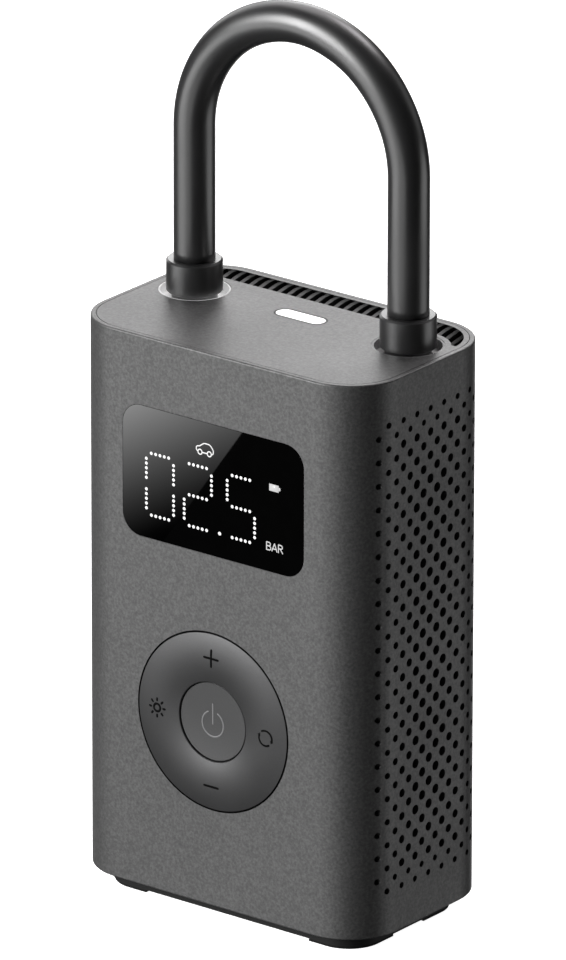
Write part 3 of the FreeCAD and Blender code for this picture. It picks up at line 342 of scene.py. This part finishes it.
def far_from_lamp(tree):
    """Distance from the lamp's centre line, a 7.9 mm stretch along X in the top face."""
    apart = tree.nodes.new("ShaderNodeSeparateXYZ")
    tree.links.new(coords(tree), apart.inputs["Vector"])

    def calc(what, a, b=None):
        node = tree.nodes.new("ShaderNodeMath")
        node.operation = what
        tree.links.new(a, node.inputs[0])
        if b is not None:
            node.inputs[1].default_value = b
        return node.outputs["Value"]

    x = calc("MAXIMUM", calc("SUBTRACT", calc("ABSOLUTE", apart.outputs["X"]), 3.95 * MM), 0.0)
    y = calc("SUBTRACT", apart.outputs["Y"], 6.0 * MM)
    low = calc("MULTIPLY", calc("LESS_THAN", apart.outputs["Z"], (FACE_Z - 6.0) * MM), 0.02)
    joined = tree.nodes.new("ShaderNodeCombineXYZ")
    for value, socket_name in ((x, "X"), (y, "Y"), (low, "Z")):
        tree.links.new(value, joined.inputs[socket_name])
    size = tree.nodes.new("ShaderNodeVectorMath")
    size.operation = "LENGTH"
    tree.links.new(joined.outputs["Vector"], size.inputs[0])
    return size.outputs["Value"]


def across_vent(tree):
    """Inside the comb vent: minus the distance from its outline. Elsewhere: well below that."""
    apart = tree.nodes.new("ShaderNodeSeparateXYZ")
    tree.links.new(coords(tree), apart.inputs["Vector"])

    def calc(what, a, b):
        node = tree.nodes.new("ShaderNodeMath")
        node.operation = what
        tree.links.new(a, node.inputs[0])
        if isinstance(b, float):
            node.inputs[1].default_value = b
        else:
            tree.links.new(b, node.inputs[1])
        return node.outputs["Value"]

    def reach(x, y):
        both = calc("ADD", calc("MULTIPLY", x, x), calc("MULTIPLY", y, y))
        return calc("POWER", both, 0.5)

    wide, y = calc("MAXIMUM", apart.outputs["X"], calc("MULTIPLY", apart.outputs["X"], -1.0)), apart.outputs["Y"]
    qx = calc("MAXIMUM", calc("SUBTRACT", wide, (35.15 - 9.65) * MM), 0.0)
    qy = calc("MAXIMUM", calc("SUBTRACT", y, (20.30 - 9.65) * MM), 0.0)
    depth = calc("SUBTRACT", reach(qx, qy), 9.65 * MM)
    hug = reach(calc("SUBTRACT", wide, 27.2 * MM), calc("SUBTRACT", y, 6.0 * MM))
    out = calc("ADD", calc("LESS_THAN", y, 11.2 * MM), calc("LESS_THAN", hug, 8.6 * MM))
    out = calc("ADD", out, calc("GREATER_THAN", depth, 0.02 * MM))
    return calc("SUBTRACT", depth, out)


def height(tree):
    """Height above the ground."""
    parts_of = tree.nodes.new("ShaderNodeSeparateXYZ")
    tree.links.new(coords(tree), parts_of.inputs["Vector"])
    return parts_of.outputs["Z"]


def from_cup_axis(tree):
    """Distance from the upright axis of the outlet cup."""
    parts_of = tree.nodes.new("ShaderNodeSeparateXYZ")
    tree.links.new(coords(tree), parts_of.inputs["Vector"])
    flat = tree.nodes.new("ShaderNodeCombineXYZ")
    tree.links.new(parts_of.outputs["X"], flat.inputs["X"])
    tree.links.new(parts_of.outputs["Y"], flat.inputs["Y"])
    gap = tree.nodes.new("ShaderNodeVectorMath")
    gap.operation = "DISTANCE"
    tree.links.new(flat.outputs["Vector"], gap.inputs[0])
    gap.inputs[1].default_value = (-27.2 * MM, 6.0 * MM, 0.0)
    return gap.outputs["Value"]


def dimmed(mat, name, measure, dark, a_mm, b_mm):
    """A copy of a finish whose colour falls to a share of itself from a_mm to b_mm of a measure: painted shade
    on the walls of gaps and recesses, and a painted difference in light between a pocket and its rim."""
    new = mat.copy()
    new.name = name
    tree = new.node_tree
    bsdf = tree.nodes["Principled BSDF"]
    level = span(tree, measure(tree), 1.0, dark, a_mm * MM, b_mm * MM)
    mix = tree.nodes.new("ShaderNodeMix")
    mix.data_type = "RGBA"
    mix.blend_type = "MULTIPLY"
    mix.inputs["Factor"].default_value = 1.0
    tree.links.new(bsdf.inputs["Base Color"].links[0].from_socket, mix.inputs["A"])
    tree.links.new(level, mix.inputs["B"])
    tree.links.new(mix.outputs["Result"], bsdf.inputs["Base Color"])
    return new


# ------------------------------------------------------- hose: cord first
HOSE_R = 4.25
ROUTE = [(-27.2, 6.0, 127.65), (-27.2, 6.0, 147.11), (-27.2, 6.0, 164.788), (-16.811, 6.0, 179.088),
         (0.0, 6.0, 184.55), (16.811, 6.0, 179.088), (27.2, 6.0, 164.788), (27.2, 6.0, 147.11),
         (27.2, 6.0, 127.65)]
curve = bpy.data.curves.new("hose_line", "CURVE")
curve.dimensions = "3D"
curve.resolution_u = 20
spline = curve.splines.new("NURBS")
spline.points.add(len(ROUTE) - 1)
for point, (x, y, z) in zip(spline.points, ROUTE):
    point.co = (x * MM, y * MM, z * MM, 1.0)
spline.order_u = 3
spline.use_endpoint_u = True
line_obj = bpy.data.objects.new("hose_line", curve)
SCENE.collection.objects.link(line_obj)
bpy.context.view_layer.update()
line_mesh = bpy.data.meshes.new_from_object(line_obj.evaluated_get(bpy.context.evaluated_depsgraph_get()))
HOSE_PATH = [v.co.copy() for v in line_mesh.vertices]
bpy.data.objects.remove(line_obj)
bpy.data.meshes.remove(line_mesh)
SIDES = 72
verts, faces = [], []
for i, p in enumerate(HOSE_PATH):
    a = HOSE_PATH[max(i - 1, 0)]
    b = HOSE_PATH[min(i + 1, len(HOSE_PATH) - 1)]
    along = (b - a).normalized()
    side = Vector((0, 1, 0))
    out = side.cross(along).normalized()
    for k in range(SIDES):
        t = 2 * math.pi * k / SIDES
        q = p + (side * math.cos(t) + out * math.sin(t)) * (HOSE_R * MM)
        verts.append((q.x / MM, q.y / MM, q.z / MM))
for i in range(len(HOSE_PATH) - 1):
    for k in range(SIDES):
        a, b = i * SIDES + k, i * SIDES + (k + 1) % SIDES
        faces.append((a, b, b + SIDES, a + SIDES))
faces.append(tuple(range(SIDES)))
faces.append(tuple(reversed(range(len(verts) - SIDES, len(verts)))))
hose = new_object("hose", verts, faces)
HOSE_PATH = [p + Vector((0, 0, LIFT * MM)) for p in HOSE_PATH]

# --------------------------------------------------------------- materials
# case: fine sand-textured grey, a little metallic in the paint
case, tree, bsdf = shader("case_sand_grey", (0.105, 0.105, 0.106), 0.46, 0.55)
grit = noise(tree, 1750.0, 2.0, 0.6)
cloud = noise(tree, 700.0, 2.0, 0.6)
broad = noise(tree, 28.0, 2.0, 0.5)
mixer = tree.nodes.new("ShaderNodeMix")
mixer.data_type = "RGBA"
mixer.inputs["Factor"].default_value = 0.3
tree.links.new(ramp(tree, grit, [(0.30, 0.072), (0.50, 0.108), (0.70, 0.152)]), mixer.inputs["A"])
tree.links.new(ramp(tree, cloud, [(0.30, 0.094), (0.70, 0.118)]), mixer.inputs["B"])
tree.links.new(mixer.outputs["Result"], bsdf.inputs["Base Color"])
tree.links.new(span(tree, broad, 0.44, 0.50), bsdf.inputs["Roughness"])
relief = bump(tree, bsdf, grit, 0.012)
bump(tree, bsdf, cloud, 0.010, chain=relief)

# painted shade: the sleeve's wall around the four-way ring falls nearly to black, as shade in the gap
case_sleeve = dimmed(case, "case_sand_sleeve_painted_gap_shade", lambda t: far_from_axis(t, PAD_Z), 0.06, 19.30, 19.27)
# painted shade: the cap darkens from 0.06 to 0.4 mm below its top face, falls nearly to black on the lamp slot's
# wall, and darkens inside the comb vent
case_cap = dimmed(case, "case_sand_cap_painted_shade", height, 0.70, FACE_Z - 0.06, FACE_Z - 0.40)
case_cap = dimmed(case_cap, "case_sand_cap_painted_shade", far_from_lamp, 0.05, 2.42, 2.34)
case_cap = dimmed(case_cap, "case_sand_cap_painted_shade", across_vent, 0.30, -4.6, -0.5)
case_cap = dimmed(case_cap, "case_sand_cap_painted_shade", across_vent, 0.30, -4.6, -0.5)
cap_tree = case_cap.node_tree  # the vent's ribs are as moulded, without the satin topcoat
cap_rough = cap_tree.nodes["Principled BSDF"].inputs["Roughness"]
for top_rough, from_mm, to_mm in ((0.60, -5.7, -5.4), (0.95, -9.0, 0.0)):
    rougher = cap_tree.nodes.new("ShaderNodeMath")
    rougher.operation = "MAXIMUM"
    cap_tree.links.new(cap_rough.links[0].from_socket, rougher.inputs[0])
    cap_tree.links.new(span(cap_tree, across_vent(cap_tree), 0.0, top_rough, from_mm * MM, to_mm * MM),
                       rougher.inputs[1])
    cap_tree.links.new(rougher.outputs["Value"], cap_rough)
key = surfaced("key_satin_grey", (0.088, 0.088, 0.089), 0.39, 0.58, grain=3200.0, depth=0.003,
               vary=0.07, rough_vary=0.03)
ring = surfaced("ring_satin_grey", (0.065, 0.065, 0.066), 0.39, 0.58, grain=3200.0, depth=0.003,
                vary=0.07, rough_vary=0.03)
# painted shade: the ring's outer edge falls nearly to black, as shade in the seam
ring = dimmed(ring, "ring_satin_painted_gap_shade", lambda t: far_from_axis(t, PAD_Z), 0.06, 18.84, 18.92)
lamp = glowing("lamp_milk_white", (0.93, 0.93, 0.92), 0.55)
# painted shade: the lens falls nearly to black at its edge and does not glow there, as shade in the gap around
# it
lamp = dimmed(lamp, "lamp_milk_painted_gap_shade", far_from_lamp, 0.02, 1.82, 1.92)
lamp_bsdf = lamp.node_tree.nodes["Principled BSDF"]
lamp.node_tree.links.new(lamp_bsdf.inputs["Base Color"].links[0].from_socket, lamp_bsdf.inputs["Emission Color"])
base = surfaced("base_matte_black", (0.012, 0.012, 0.012), 0.62, grain=1500.0, depth=0.01)
foot = surfaced("foot_rubber", (0.010, 0.010, 0.010), 0.82, grain=1100.0, depth=0.012)
steel_dark = surfaced("screw_black_zinc", (0.20, 0.20, 0.21), 0.42, 1.0, grain=2200.0, depth=0.003)
inner = surfaced("inner_moulded", (0.13, 0.13, 0.131), 0.50, grain=1400.0, depth=0.008)
# painted light: the stow socket is a far lighter copy of the inner moulding, and lighter down in its pocket than
# at its rim by the top face, standing in for light in the pocket
socket = surfaced("socket_painted_light", (0.45, 0.45, 0.451), 0.50, grain=1400.0, depth=0.008)
socket = dimmed(socket, "socket_painted_light_dark_rim", height, 0.30, FACE_Z - 0.30, FACE_Z - 0.16)
cells = surfaced("cell_wrap_blue", (0.03, 0.17, 0.34), 0.32, grain=300.0, depth=0.004, vary=0.05)
steel = surfaced("steel_bright", (0.60, 0.60, 0.62), 0.26, 1.0, grain=2500.0, depth=0.002,
                 vary=0.05, stretch=(1.0, 1.0, 0.08))
board = surfaced("board_green", (0.012, 0.12, 0.045), 0.34, grain=800.0, depth=0.006)
parts = surfaced("parts_black", (0.018, 0.018, 0.019), 0.50, grain=2000.0, depth=0.005)
guide = surfaced("light_guide_black", (0.012, 0.012, 0.012), 0.60, grain=1200.0, depth=0.006)
felt = surfaced("filter_felt", (0.010, 0.010, 0.010), 0.95, grain=1800.0, depth=0.09, vary=0.35)
cast = surfaced("cast_aluminium", (0.52, 0.52, 0.54), 0.48, 1.0, grain=1500.0, depth=0.03)
bronze = surfaced("sintered_bronze", (0.55, 0.36, 0.16), 0.46, 1.0, grain=2600.0, depth=0.02)
plated = surfaced("zinc_plate", (0.50, 0.50, 0.53), 0.34, 1.0, grain=600.0, depth=0.004, vary=0.08)
cap = surfaced("motor_cap_black", (0.030, 0.030, 0.031), 0.50, grain=1600.0, depth=0.006)
ferrite = surfaced("ferrite_grey", (0.06, 0.06, 0.065), 0.55, grain=1700.0, depth=0.02)
copper = surfaced("copper", (0.70, 0.32, 0.18), 0.30, 1.0, grain=900.0, depth=0.004)
nylon = surfaced("nylon_natural", (0.78, 0.76, 0.70), 0.42, grain=900.0, depth=0.004, vary=0.04)
# painted light: the nickel is near white and not metallic, and the outlet cup is lighter down in its pocket than
# at its rim, standing in for light in the pocket
nickel = surfaced("nickel_satin_painted_light", (0.97, 0.97, 0.97), 0.50, 0.0, grain=3000.0, depth=0.002, vary=0.03)
cup = dimmed(nickel, "nickel_painted_light_dark_rim", height, 0.62, FACE_Z - 0.30, FACE_Z - 0.16)
cup = dimmed(cup, "nickel_cup_painted_light", from_cup_axis, 0.04, 7.30, 7.40)  # its outside and flange are nearly black
cup_bsdf = cup.node_tree.nodes["Principled BSDF"]  # painted light: a faint glow inside the cup, standing in for light bounced in the pocket
cup_bsdf.inputs["Emission Color"].default_value = (1.0, 1.0, 1.0, 1.0)
cup_bsdf.inputs["Emission Strength"].default_value = 0.20
cup_tree = cup.node_tree
cup_tree.links.new(span(cup_tree, from_cup_axis(cup_tree), 1.0, 0.0, 7.30 * MM, 7.40 * MM),
                   cup_bsdf.inputs["Emission Color"])
rubber = surfaced("hose_satin_rubber", (0.016, 0.016, 0.0165), 0.36, grain=2600.0, depth=0.006,
                  vary=0.15, rough_vary=0.05)
fitting = surfaced("fitting_satin_black", (0.016, 0.016, 0.0165), 0.36, grain=2600.0, depth=0.004,
                   vary=0.12, rough_vary=0.04)
for glossy in (rubber, fitting):
    glossy.node_tree.nodes["Principled BSDF"].inputs["IOR"].default_value = 1.9
for dull in (base, foot):
    dull.node_tree.nodes["Principled BSDF"].inputs["Specular IOR Level"].default_value = 0.2
silicone = surfaced("silicone_milky", (0.62, 0.63, 0.61), 0.40, grain=500.0, depth=0.006, vary=0.04)

# window: smoked gloss black with the faintest handling haze
window, tree, bsdf = shader("window_gloss_black", (0.0006, 0.0006, 0.0006), 0.016)
haze = noise(tree, 40.0, 3.0, 0.6)
tree.links.new(span(tree, haze, 0.005, 0.014), bsdf.inputs["Roughness"])
tree.links.new(ramp(tree, noise(tree, 220.0), [(0.3, 0.0004), (0.7, 0.0008)]), bsdf.inputs["Base Color"])

FINISH = {
    "housing_grey": case, "key_grey": key, "lamp_white": lamp, "base_black": base,
    "foot_rubber": foot, "steel_dark": steel_dark, "inner_plastic": inner, "cell_wrap": cells,
    "steel_bright": steel, "board_green": board, "parts_black": parts, "display_black": guide,
    "window_black": window, "filter_foam": felt, "aluminium_cast": cast, "bronze": bronze,
    "motor_steel": plated, "motor_plastic": cap, "magnet": ferrite, "copper": copper,
    "gear_nylon": nylon, "nickel": nickel, "hose_rubber": rubber, "fitting_black": fitting,
    "silicone": silicone,
}
SLOT_OF = {}
for group_name, members in (
    ("housing_grey", "housing_sleeve top_cap"),
    ("key_grey", "control_ring power_key"),
    ("lamp_white", "lamp_lens"),
    ("base_black", "base_cover"),
    ("foot_rubber", "foot_pads valve_washer piston_cup"),
    ("steel_dark", "base_screws head_screws"),
    ("inner_plastic", "battery_tray inner_frame key_guide ring_carrier stow_socket"),
    ("cell_wrap", "battery_cells"),
    ("steel_bright", "battery_tabs charge_port rotor_shaft crank_axle crank_pin valve_spring "
                     "hose_stem valve_plate motor_terminals"),
    ("board_green", "main_board charge_board lamp_board"),
    ("parts_black", "board_parts pressure_sensor key_switches charge_tongue"),
    ("display_black", "display_module"),
    ("window_black", "display_window"),
    ("filter_foam", "intake_filter_left intake_filter_right"),
    ("aluminium_cast", "drive_frame cylinder cylinder_head piston_rod"),
    ("bronze", "crank_bearing motor_bushes pinion"),
    ("motor_steel", "motor_can rotor_core"),
    ("motor_plastic", "motor_end_cap"),
    ("magnet", "motor_magnets"),
    ("copper", "commutator"),
    ("gear_nylon", "crank_wheel valve_disc"),
    ("nickel", "outlet_bush outlet_nipple"),
    ("hose_rubber", "air_hose"),
    ("fitting_black", "outlet_collar valve_collar"),
    ("silicone", "delivery_tube"),
):
    for member in members.split():
        SLOT_OF[member] = group_name
OWN = {"housing_sleeve": case_sleeve, "top_cap": case_cap, "control_ring": ring, "stow_socket": socket,
       "outlet_bush": cup}
for node_name, obj in NODES.items():
    finish = OWN.get(node_name) or FINISH[SLOT_OF[node_name]]
    if obj.material_slots:
        for one in obj.material_slots:
            one.material = finish
    else:
        obj.data.materials.append(finish)

hose.data.materials.append(rubber)
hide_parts("air_hose")

# the valve's spring, copied into an object of its own; the imported one is hidden
coil_mesh = NODES["valve_spring"].data.copy()
coil_mesh.transform(NODES["valve_spring"].matrix_world)
coil = bpy.data.objects.new("delivery_valve_spring", coil_mesh)
SCENE.collection.objects.link(coil)
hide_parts("valve_spring")
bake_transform(coil)

# ---------------------------------------------------- display: lit content
DOT_R = 0.345
TOP, UPPER, MID, LOWER, FOOT = 96.42, (95.07, 90.99), 89.76, (88.52, 84.46), 83.15
WIDE = 6.96
digits = ([], [])


def spots(a, b):
    for i in range(5):
        dot(digits, a[0] + (b[0] - a[0]) * i / 4, a[1] + (b[1] - a[1]) * i / 4, DOT_R, on_window)


def digit(x0, parts_lit):
    bars = {"a": TOP, "g": MID, "d": FOOT}
    for part in parts_lit:
        if part in bars:
            spots((x0 + 1.27, bars[part]), (x0 + 5.72, bars[part]))
        else:
            x = x0 if part in "fe" else x0 + WIDE
            lo, hi = UPPER if part in "fb" else LOWER
            spots((x, lo), (x, hi))


digit(-17.0, "abcdef")
digit(-7.32, "abged")
digit(3.65, "afgcd")
dot(digits, 1.72, 83.25, DOT_R + 0.04, on_window)
display_digits = new_object("display_digits", *digits)
lit = glowing("display_lit_white", (1.0, 1.0, 1.0), 1.0, body=0.15)
display_digits.data.materials.append(lit)
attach(display_digits, "housing")

signs = ([], [])
# little vehicle: body outline and two wheels
stroke(signs, [(-3.98, 99.72), (-4.22, 100.1), (-4.2, 100.5), (-3.95, 100.74), (-3.35, 100.86),
               (-2.75, 101.3), (-2.25, 101.62), (-1.5, 101.66), (-0.85, 101.6), (-0.38, 101.25),
               (0.02, 100.72), (0.14, 100.4), (0.08, 99.9), (-0.12, 99.68)], 0.24, on_window)
stroke(signs, [(-2.62, 99.6), (-1.56, 99.6)], 0.24, on_window)
for wheel_x in (-3.27, -0.9):
    stroke(signs, arc(wheel_x, 99.62, 0.52, 0, 345, 15), 0.25, on_window, closed=True)
display_car = new_object("display_car", *signs)
car_lit = glowing("display_lit_car", (1.0, 1.0, 1.0), 0.86, body=0.15)
display_car.data.materials.append(car_lit)
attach(display_car, "housing")
signs = ([], [])
# charge sign: filled body with a small pole
patch(signs, [(14.32, 95.42), (16.70, 95.42), (16.70, 96.9), (14.32, 96.9)], on_window)
patch(signs, [(16.74, 95.75), (17.14, 95.9), (17.14, 96.42), (16.74, 96.57)], on_window)
# pressure unit in plain strokes
U0, U1, U2 = 82.68, 83.52, 84.32
stroke(signs, [(13.66, U0), (13.66, U2), (14.35, U2 - 0.02), (14.62, 84.12), (14.62, 83.78),
               (14.35, U1 + 0.03), (13.66, U1)], 0.23, on_window)
stroke(signs, [(13.66, U1), (14.40, U1), (14.72, 83.30), (14.72, 82.92), (14.40, U0), (13.66, U0)],
       0.23, on_window)
stroke(signs, [(15.02, U0), (15.66, U2), (16.30, U0)], 0.23, on_window)
stroke(signs, [(15.28, 83.16), (16.04, 83.16)], 0.2, on_window)
stroke(signs, [(16.66, U0), (16.66, U2), (17.35, U2 - 0.02), (17.64, 84.08), (17.64, 83.72),
               (17.35, U1), (16.66, U1)], 0.23, on_window)
stroke(signs, [(17.12, U1), (17.72, U0)], 0.23, on_window)
display_signs = new_object("display_signs", *signs)
signs_lit = glowing("display_lit_soft", (1.0, 1.0, 1.0), 0.60, body=0.12)
display_signs.data.materials.append(signs_lit)
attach(display_signs, "housing")

# -------------------------------------------------- printed marks on keys
R_MARK = 13.86
marks = ([], [])
cx, cz = 0.0, PAD_Z + R_MARK
stroke(marks, [(cx - 1.75, cz), (cx + 1.75, cz)], 0.50, on_ring)
stroke(marks, [(cx, cz - 1.75), (cx, cz + 1.75)], 0.50, on_ring, proud=0.026)
cz = PAD_Z - R_MARK
stroke(marks, [(cx - 1.75, cz), (cx + 1.75, cz)], 0.50, on_ring)
cx, cz = -R_MARK, PAD_Z
stroke(marks, arc(cx, cz, 0.82, 0, 345, 15), 0.50, on_ring, closed=True)
for i in range(8):
    ux, uz = math.cos(math.radians(45 * i)), math.sin(math.radians(45 * i))
    stroke(marks, [(cx + ux * 1.58, cz + uz * 1.58), (cx + ux * 1.95, cz + uz * 1.95)], 0.50, on_ring)
cx, cz = R_MARK, PAD_Z
for flip in (0, 180):
    stroke(marks, arc(cx, cz, 1.62, 122 + flip, -14 + flip, 8), 0.44, on_ring)
    tip = math.radians(-26 + flip)
    tx, tz = cx + 1.62 * math.cos(tip), cz + 1.62 * math.sin(tip)
    ax, az = math.sin(tip), -math.cos(tip)
    patch(marks, [(tx + ax * 0.30, tz + az * 0.30),
                  (tx - ax * 0.38 + math.cos(tip) * 0.40, tz - az * 0.38 + math.sin(tip) * 0.40),
                  (tx - ax * 0.38 - math.cos(tip) * 0.40, tz - az * 0.38 - math.sin(tip) * 0.40)],
          on_ring, proud=0.026)
ring_marks = new_object("ring_marks", *marks)
ink = surfaced("mark_black_ink", (0.001, 0.001, 0.001), 0.85, grain=3000.0, depth=0.002)
ink.node_tree.nodes["Principled BSDF"].inputs["Specular IOR Level"].default_value = 0.12
ring_marks.data.materials.append(ink)
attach(ring_marks, "key_ring")

power = ([], [])
pz = PAD_Z - 0.55
px = -0.15
stroke(power, arc(px, pz, 2.72, 63, -243, 6), 0.36, on_key)
stroke(power, [(px, pz + 0.05), (px, pz + 4.3)], 0.36, on_key)
power_mark = new_object("power_mark", *power)
pale = surfaced("mark_pale_ink", (0.18, 0.18, 0.183), 0.5, grain=3000.0, depth=0.002)
power_mark.data.materials.append(pale)
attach(power_mark, "power_key")

# ------------------------------------------------------- stage and light
dome = ([], [])
RADIUS, RINGS, SEGS = 9000.0, 14, 64
for r in range(RINGS + 1):
    e = math.radians(90.0 * r / RINGS)
    for s in range(SEGS):
        a = 2 * math.pi * s / SEGS
        dome[0].append((RADIUS * math.cos(e) * math.cos(a), RADIUS * math.cos(e) * math.sin(a),
                        RADIUS * math.sin(e) - LIFT - 0.05))
for r in range(RINGS):
    for s in range(SEGS):
        a, b = r * SEGS + s, r * SEGS + (s + 1) % SEGS
        dome[1].append((a, b, b + SEGS, a + SEGS))
dome[1].append(tuple(reversed(range(SEGS))))
backdrop = new_object("backdrop", *dome, smooth=False)
paper, tree, bsdf = shader("paper_white", (0.9, 0.9, 0.9), 0.9)
bsdf.inputs["Emission Color"].default_value = (1.0, 1.0, 1.0, 1.0)
bsdf.inputs["Emission Strength"].default_value = 1.0
backdrop.data.materials.append(paper)
backdrop.visible_diffuse = False
backdrop.visible_glossy = False
backdrop.visible_transmission = False
backdrop.visible_shadow = False

# a softbox corner that only the glossy window picks up: its light falls off
# across the panel and stops at the panel's slanted edge
GLASS_Y, CARD_AWAY, GLASS_MIRROR = -22.65, 600.0, 0.046
eye = camera.matrix_world.translation / MM
twin = Vector((eye.x, 2 * GLASS_Y - eye.y, eye.z - LIFT))
card_verts, card_faces, card_glow = [], [], []
ROWS, COLS = 44, 44
for r in range(ROWS + 1):
    z = 76.0 + 34.0 * r / ROWS
    edge = 0.4 + 0.72 * (z - 96.4)
    for c in range(COLS + 1):
        x = -27.0 + (edge + 27.0) * c / COLS
        q = Vector((x, GLASS_Y, z))
        at = q + (q - twin).normalized() * CARD_AWAY
        card_verts.append(tuple(at))
        level = max(0.468 - 0.0156 * (105.0 - z) - 0.009 * (x + 20.0), 0.0)
        card_glow.append(level * level / GLASS_MIRROR)
for r in range(ROWS):
    for c in range(COLS):
        a = r * (COLS + 1) + c
        card_faces.append((a, a + 1, a + COLS + 2, a + COLS + 1))
card = new_object("light_panel", card_verts, card_faces)
glow = card.data.color_attributes.new("glow", "FLOAT_COLOR", "POINT")
for i, value in enumerate(card_glow):
    glow.data[i].color = (value, value, value, 1.0)
panel = bpy.data.materials.new("panel_light")
panel.use_nodes = True
tree = panel.node_tree
tree.nodes.clear()
attribute = tree.nodes.new("ShaderNodeAttribute")
attribute.attribute_name = "glow"
lit_panel = tree.nodes.new("ShaderNodeEmission")
panel_out = tree.nodes.new("ShaderNodeOutputMaterial")
tree.links.new(attribute.outputs["Color"], lit_panel.inputs["Color"])
tree.links.new(lit_panel.outputs["Emission"], panel_out.inputs["Surface"])
card.data.materials.append(panel)
card.visible_camera = False
card.visible_diffuse = False
card.visible_transmission = False
card.visible_shadow = False

world = bpy.data.worlds.new("world")
SCENE.world = world
world.use_nodes = True
world.node_tree.nodes["Background"].inputs["Color"].default_value = (1.0, 1.0, 1.0, 1.0)
world.node_tree.nodes["Background"].inputs["Strength"].default_value = 0.02

# broad soft lights: azimuth from straight ahead, elevation, disc width, strength
SUNS = [(-30, 18, 36, 3.70), (180, 52, 26, 1.05), (-120, 18, 36, 0.58), (-135, 52, 40, 0.70),
        (-147, 18, 24, 0.58), (128, -20, 40, 0.42), (0, -22, 36, 0.30), (-150, -22, 36, 0.28),
        (150, 18, 36, 0.12), (-120, -22, 36, 0.05)]
for i, (az, el, wide, power_w) in enumerate(SUNS):
    light = bpy.data.lights.new("soft_%d" % i, "SUN")
    light.energy = power_w
    light.angle = math.radians(wide)
    light.color = (1.0, 0.968, 0.980) if el == 52 else (1.0, 1.0, 1.0)
    lamp_obj = bpy.data.objects.new("soft_%d" % i, light)
    az, el = math.radians(az), math.radians(el)
    way = Vector((math.sin(az) * math.cos(el), -math.cos(az) * math.cos(el), math.sin(el)))
    lamp_obj.matrix_world = way.to_track_quat("Z", "Y").to_matrix().to_4x4()
    SCENE.collection.objects.link(lamp_obj)

# low softbox in front, left: the long highlight on the hose and the collars
box_data = bpy.data.lights.new("low_softbox", "AREA")
box_data.shape = "RECTANGLE"
box_data.size, box_data.size_y = 0.470, 0.165
box_data.energy = 0.70
box_light = bpy.data.objects.new("low_softbox", box_data)
at = Vector((-0.362, -0.450, 0.0046))
box_light.matrix_world = (Matrix.Translation(at)
                          @ (at - Vector((0.0, 0.006, 0.1516))).to_track_quat("Z", "Y").to_matrix().to_4x4())
SCENE.collection.objects.link(box_light)

SCENE.view_settings.view_transform = "Standard"
SCENE.view_settings.look = "None"

# ------------------------------------------------------------- hose, cord
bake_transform(hose)
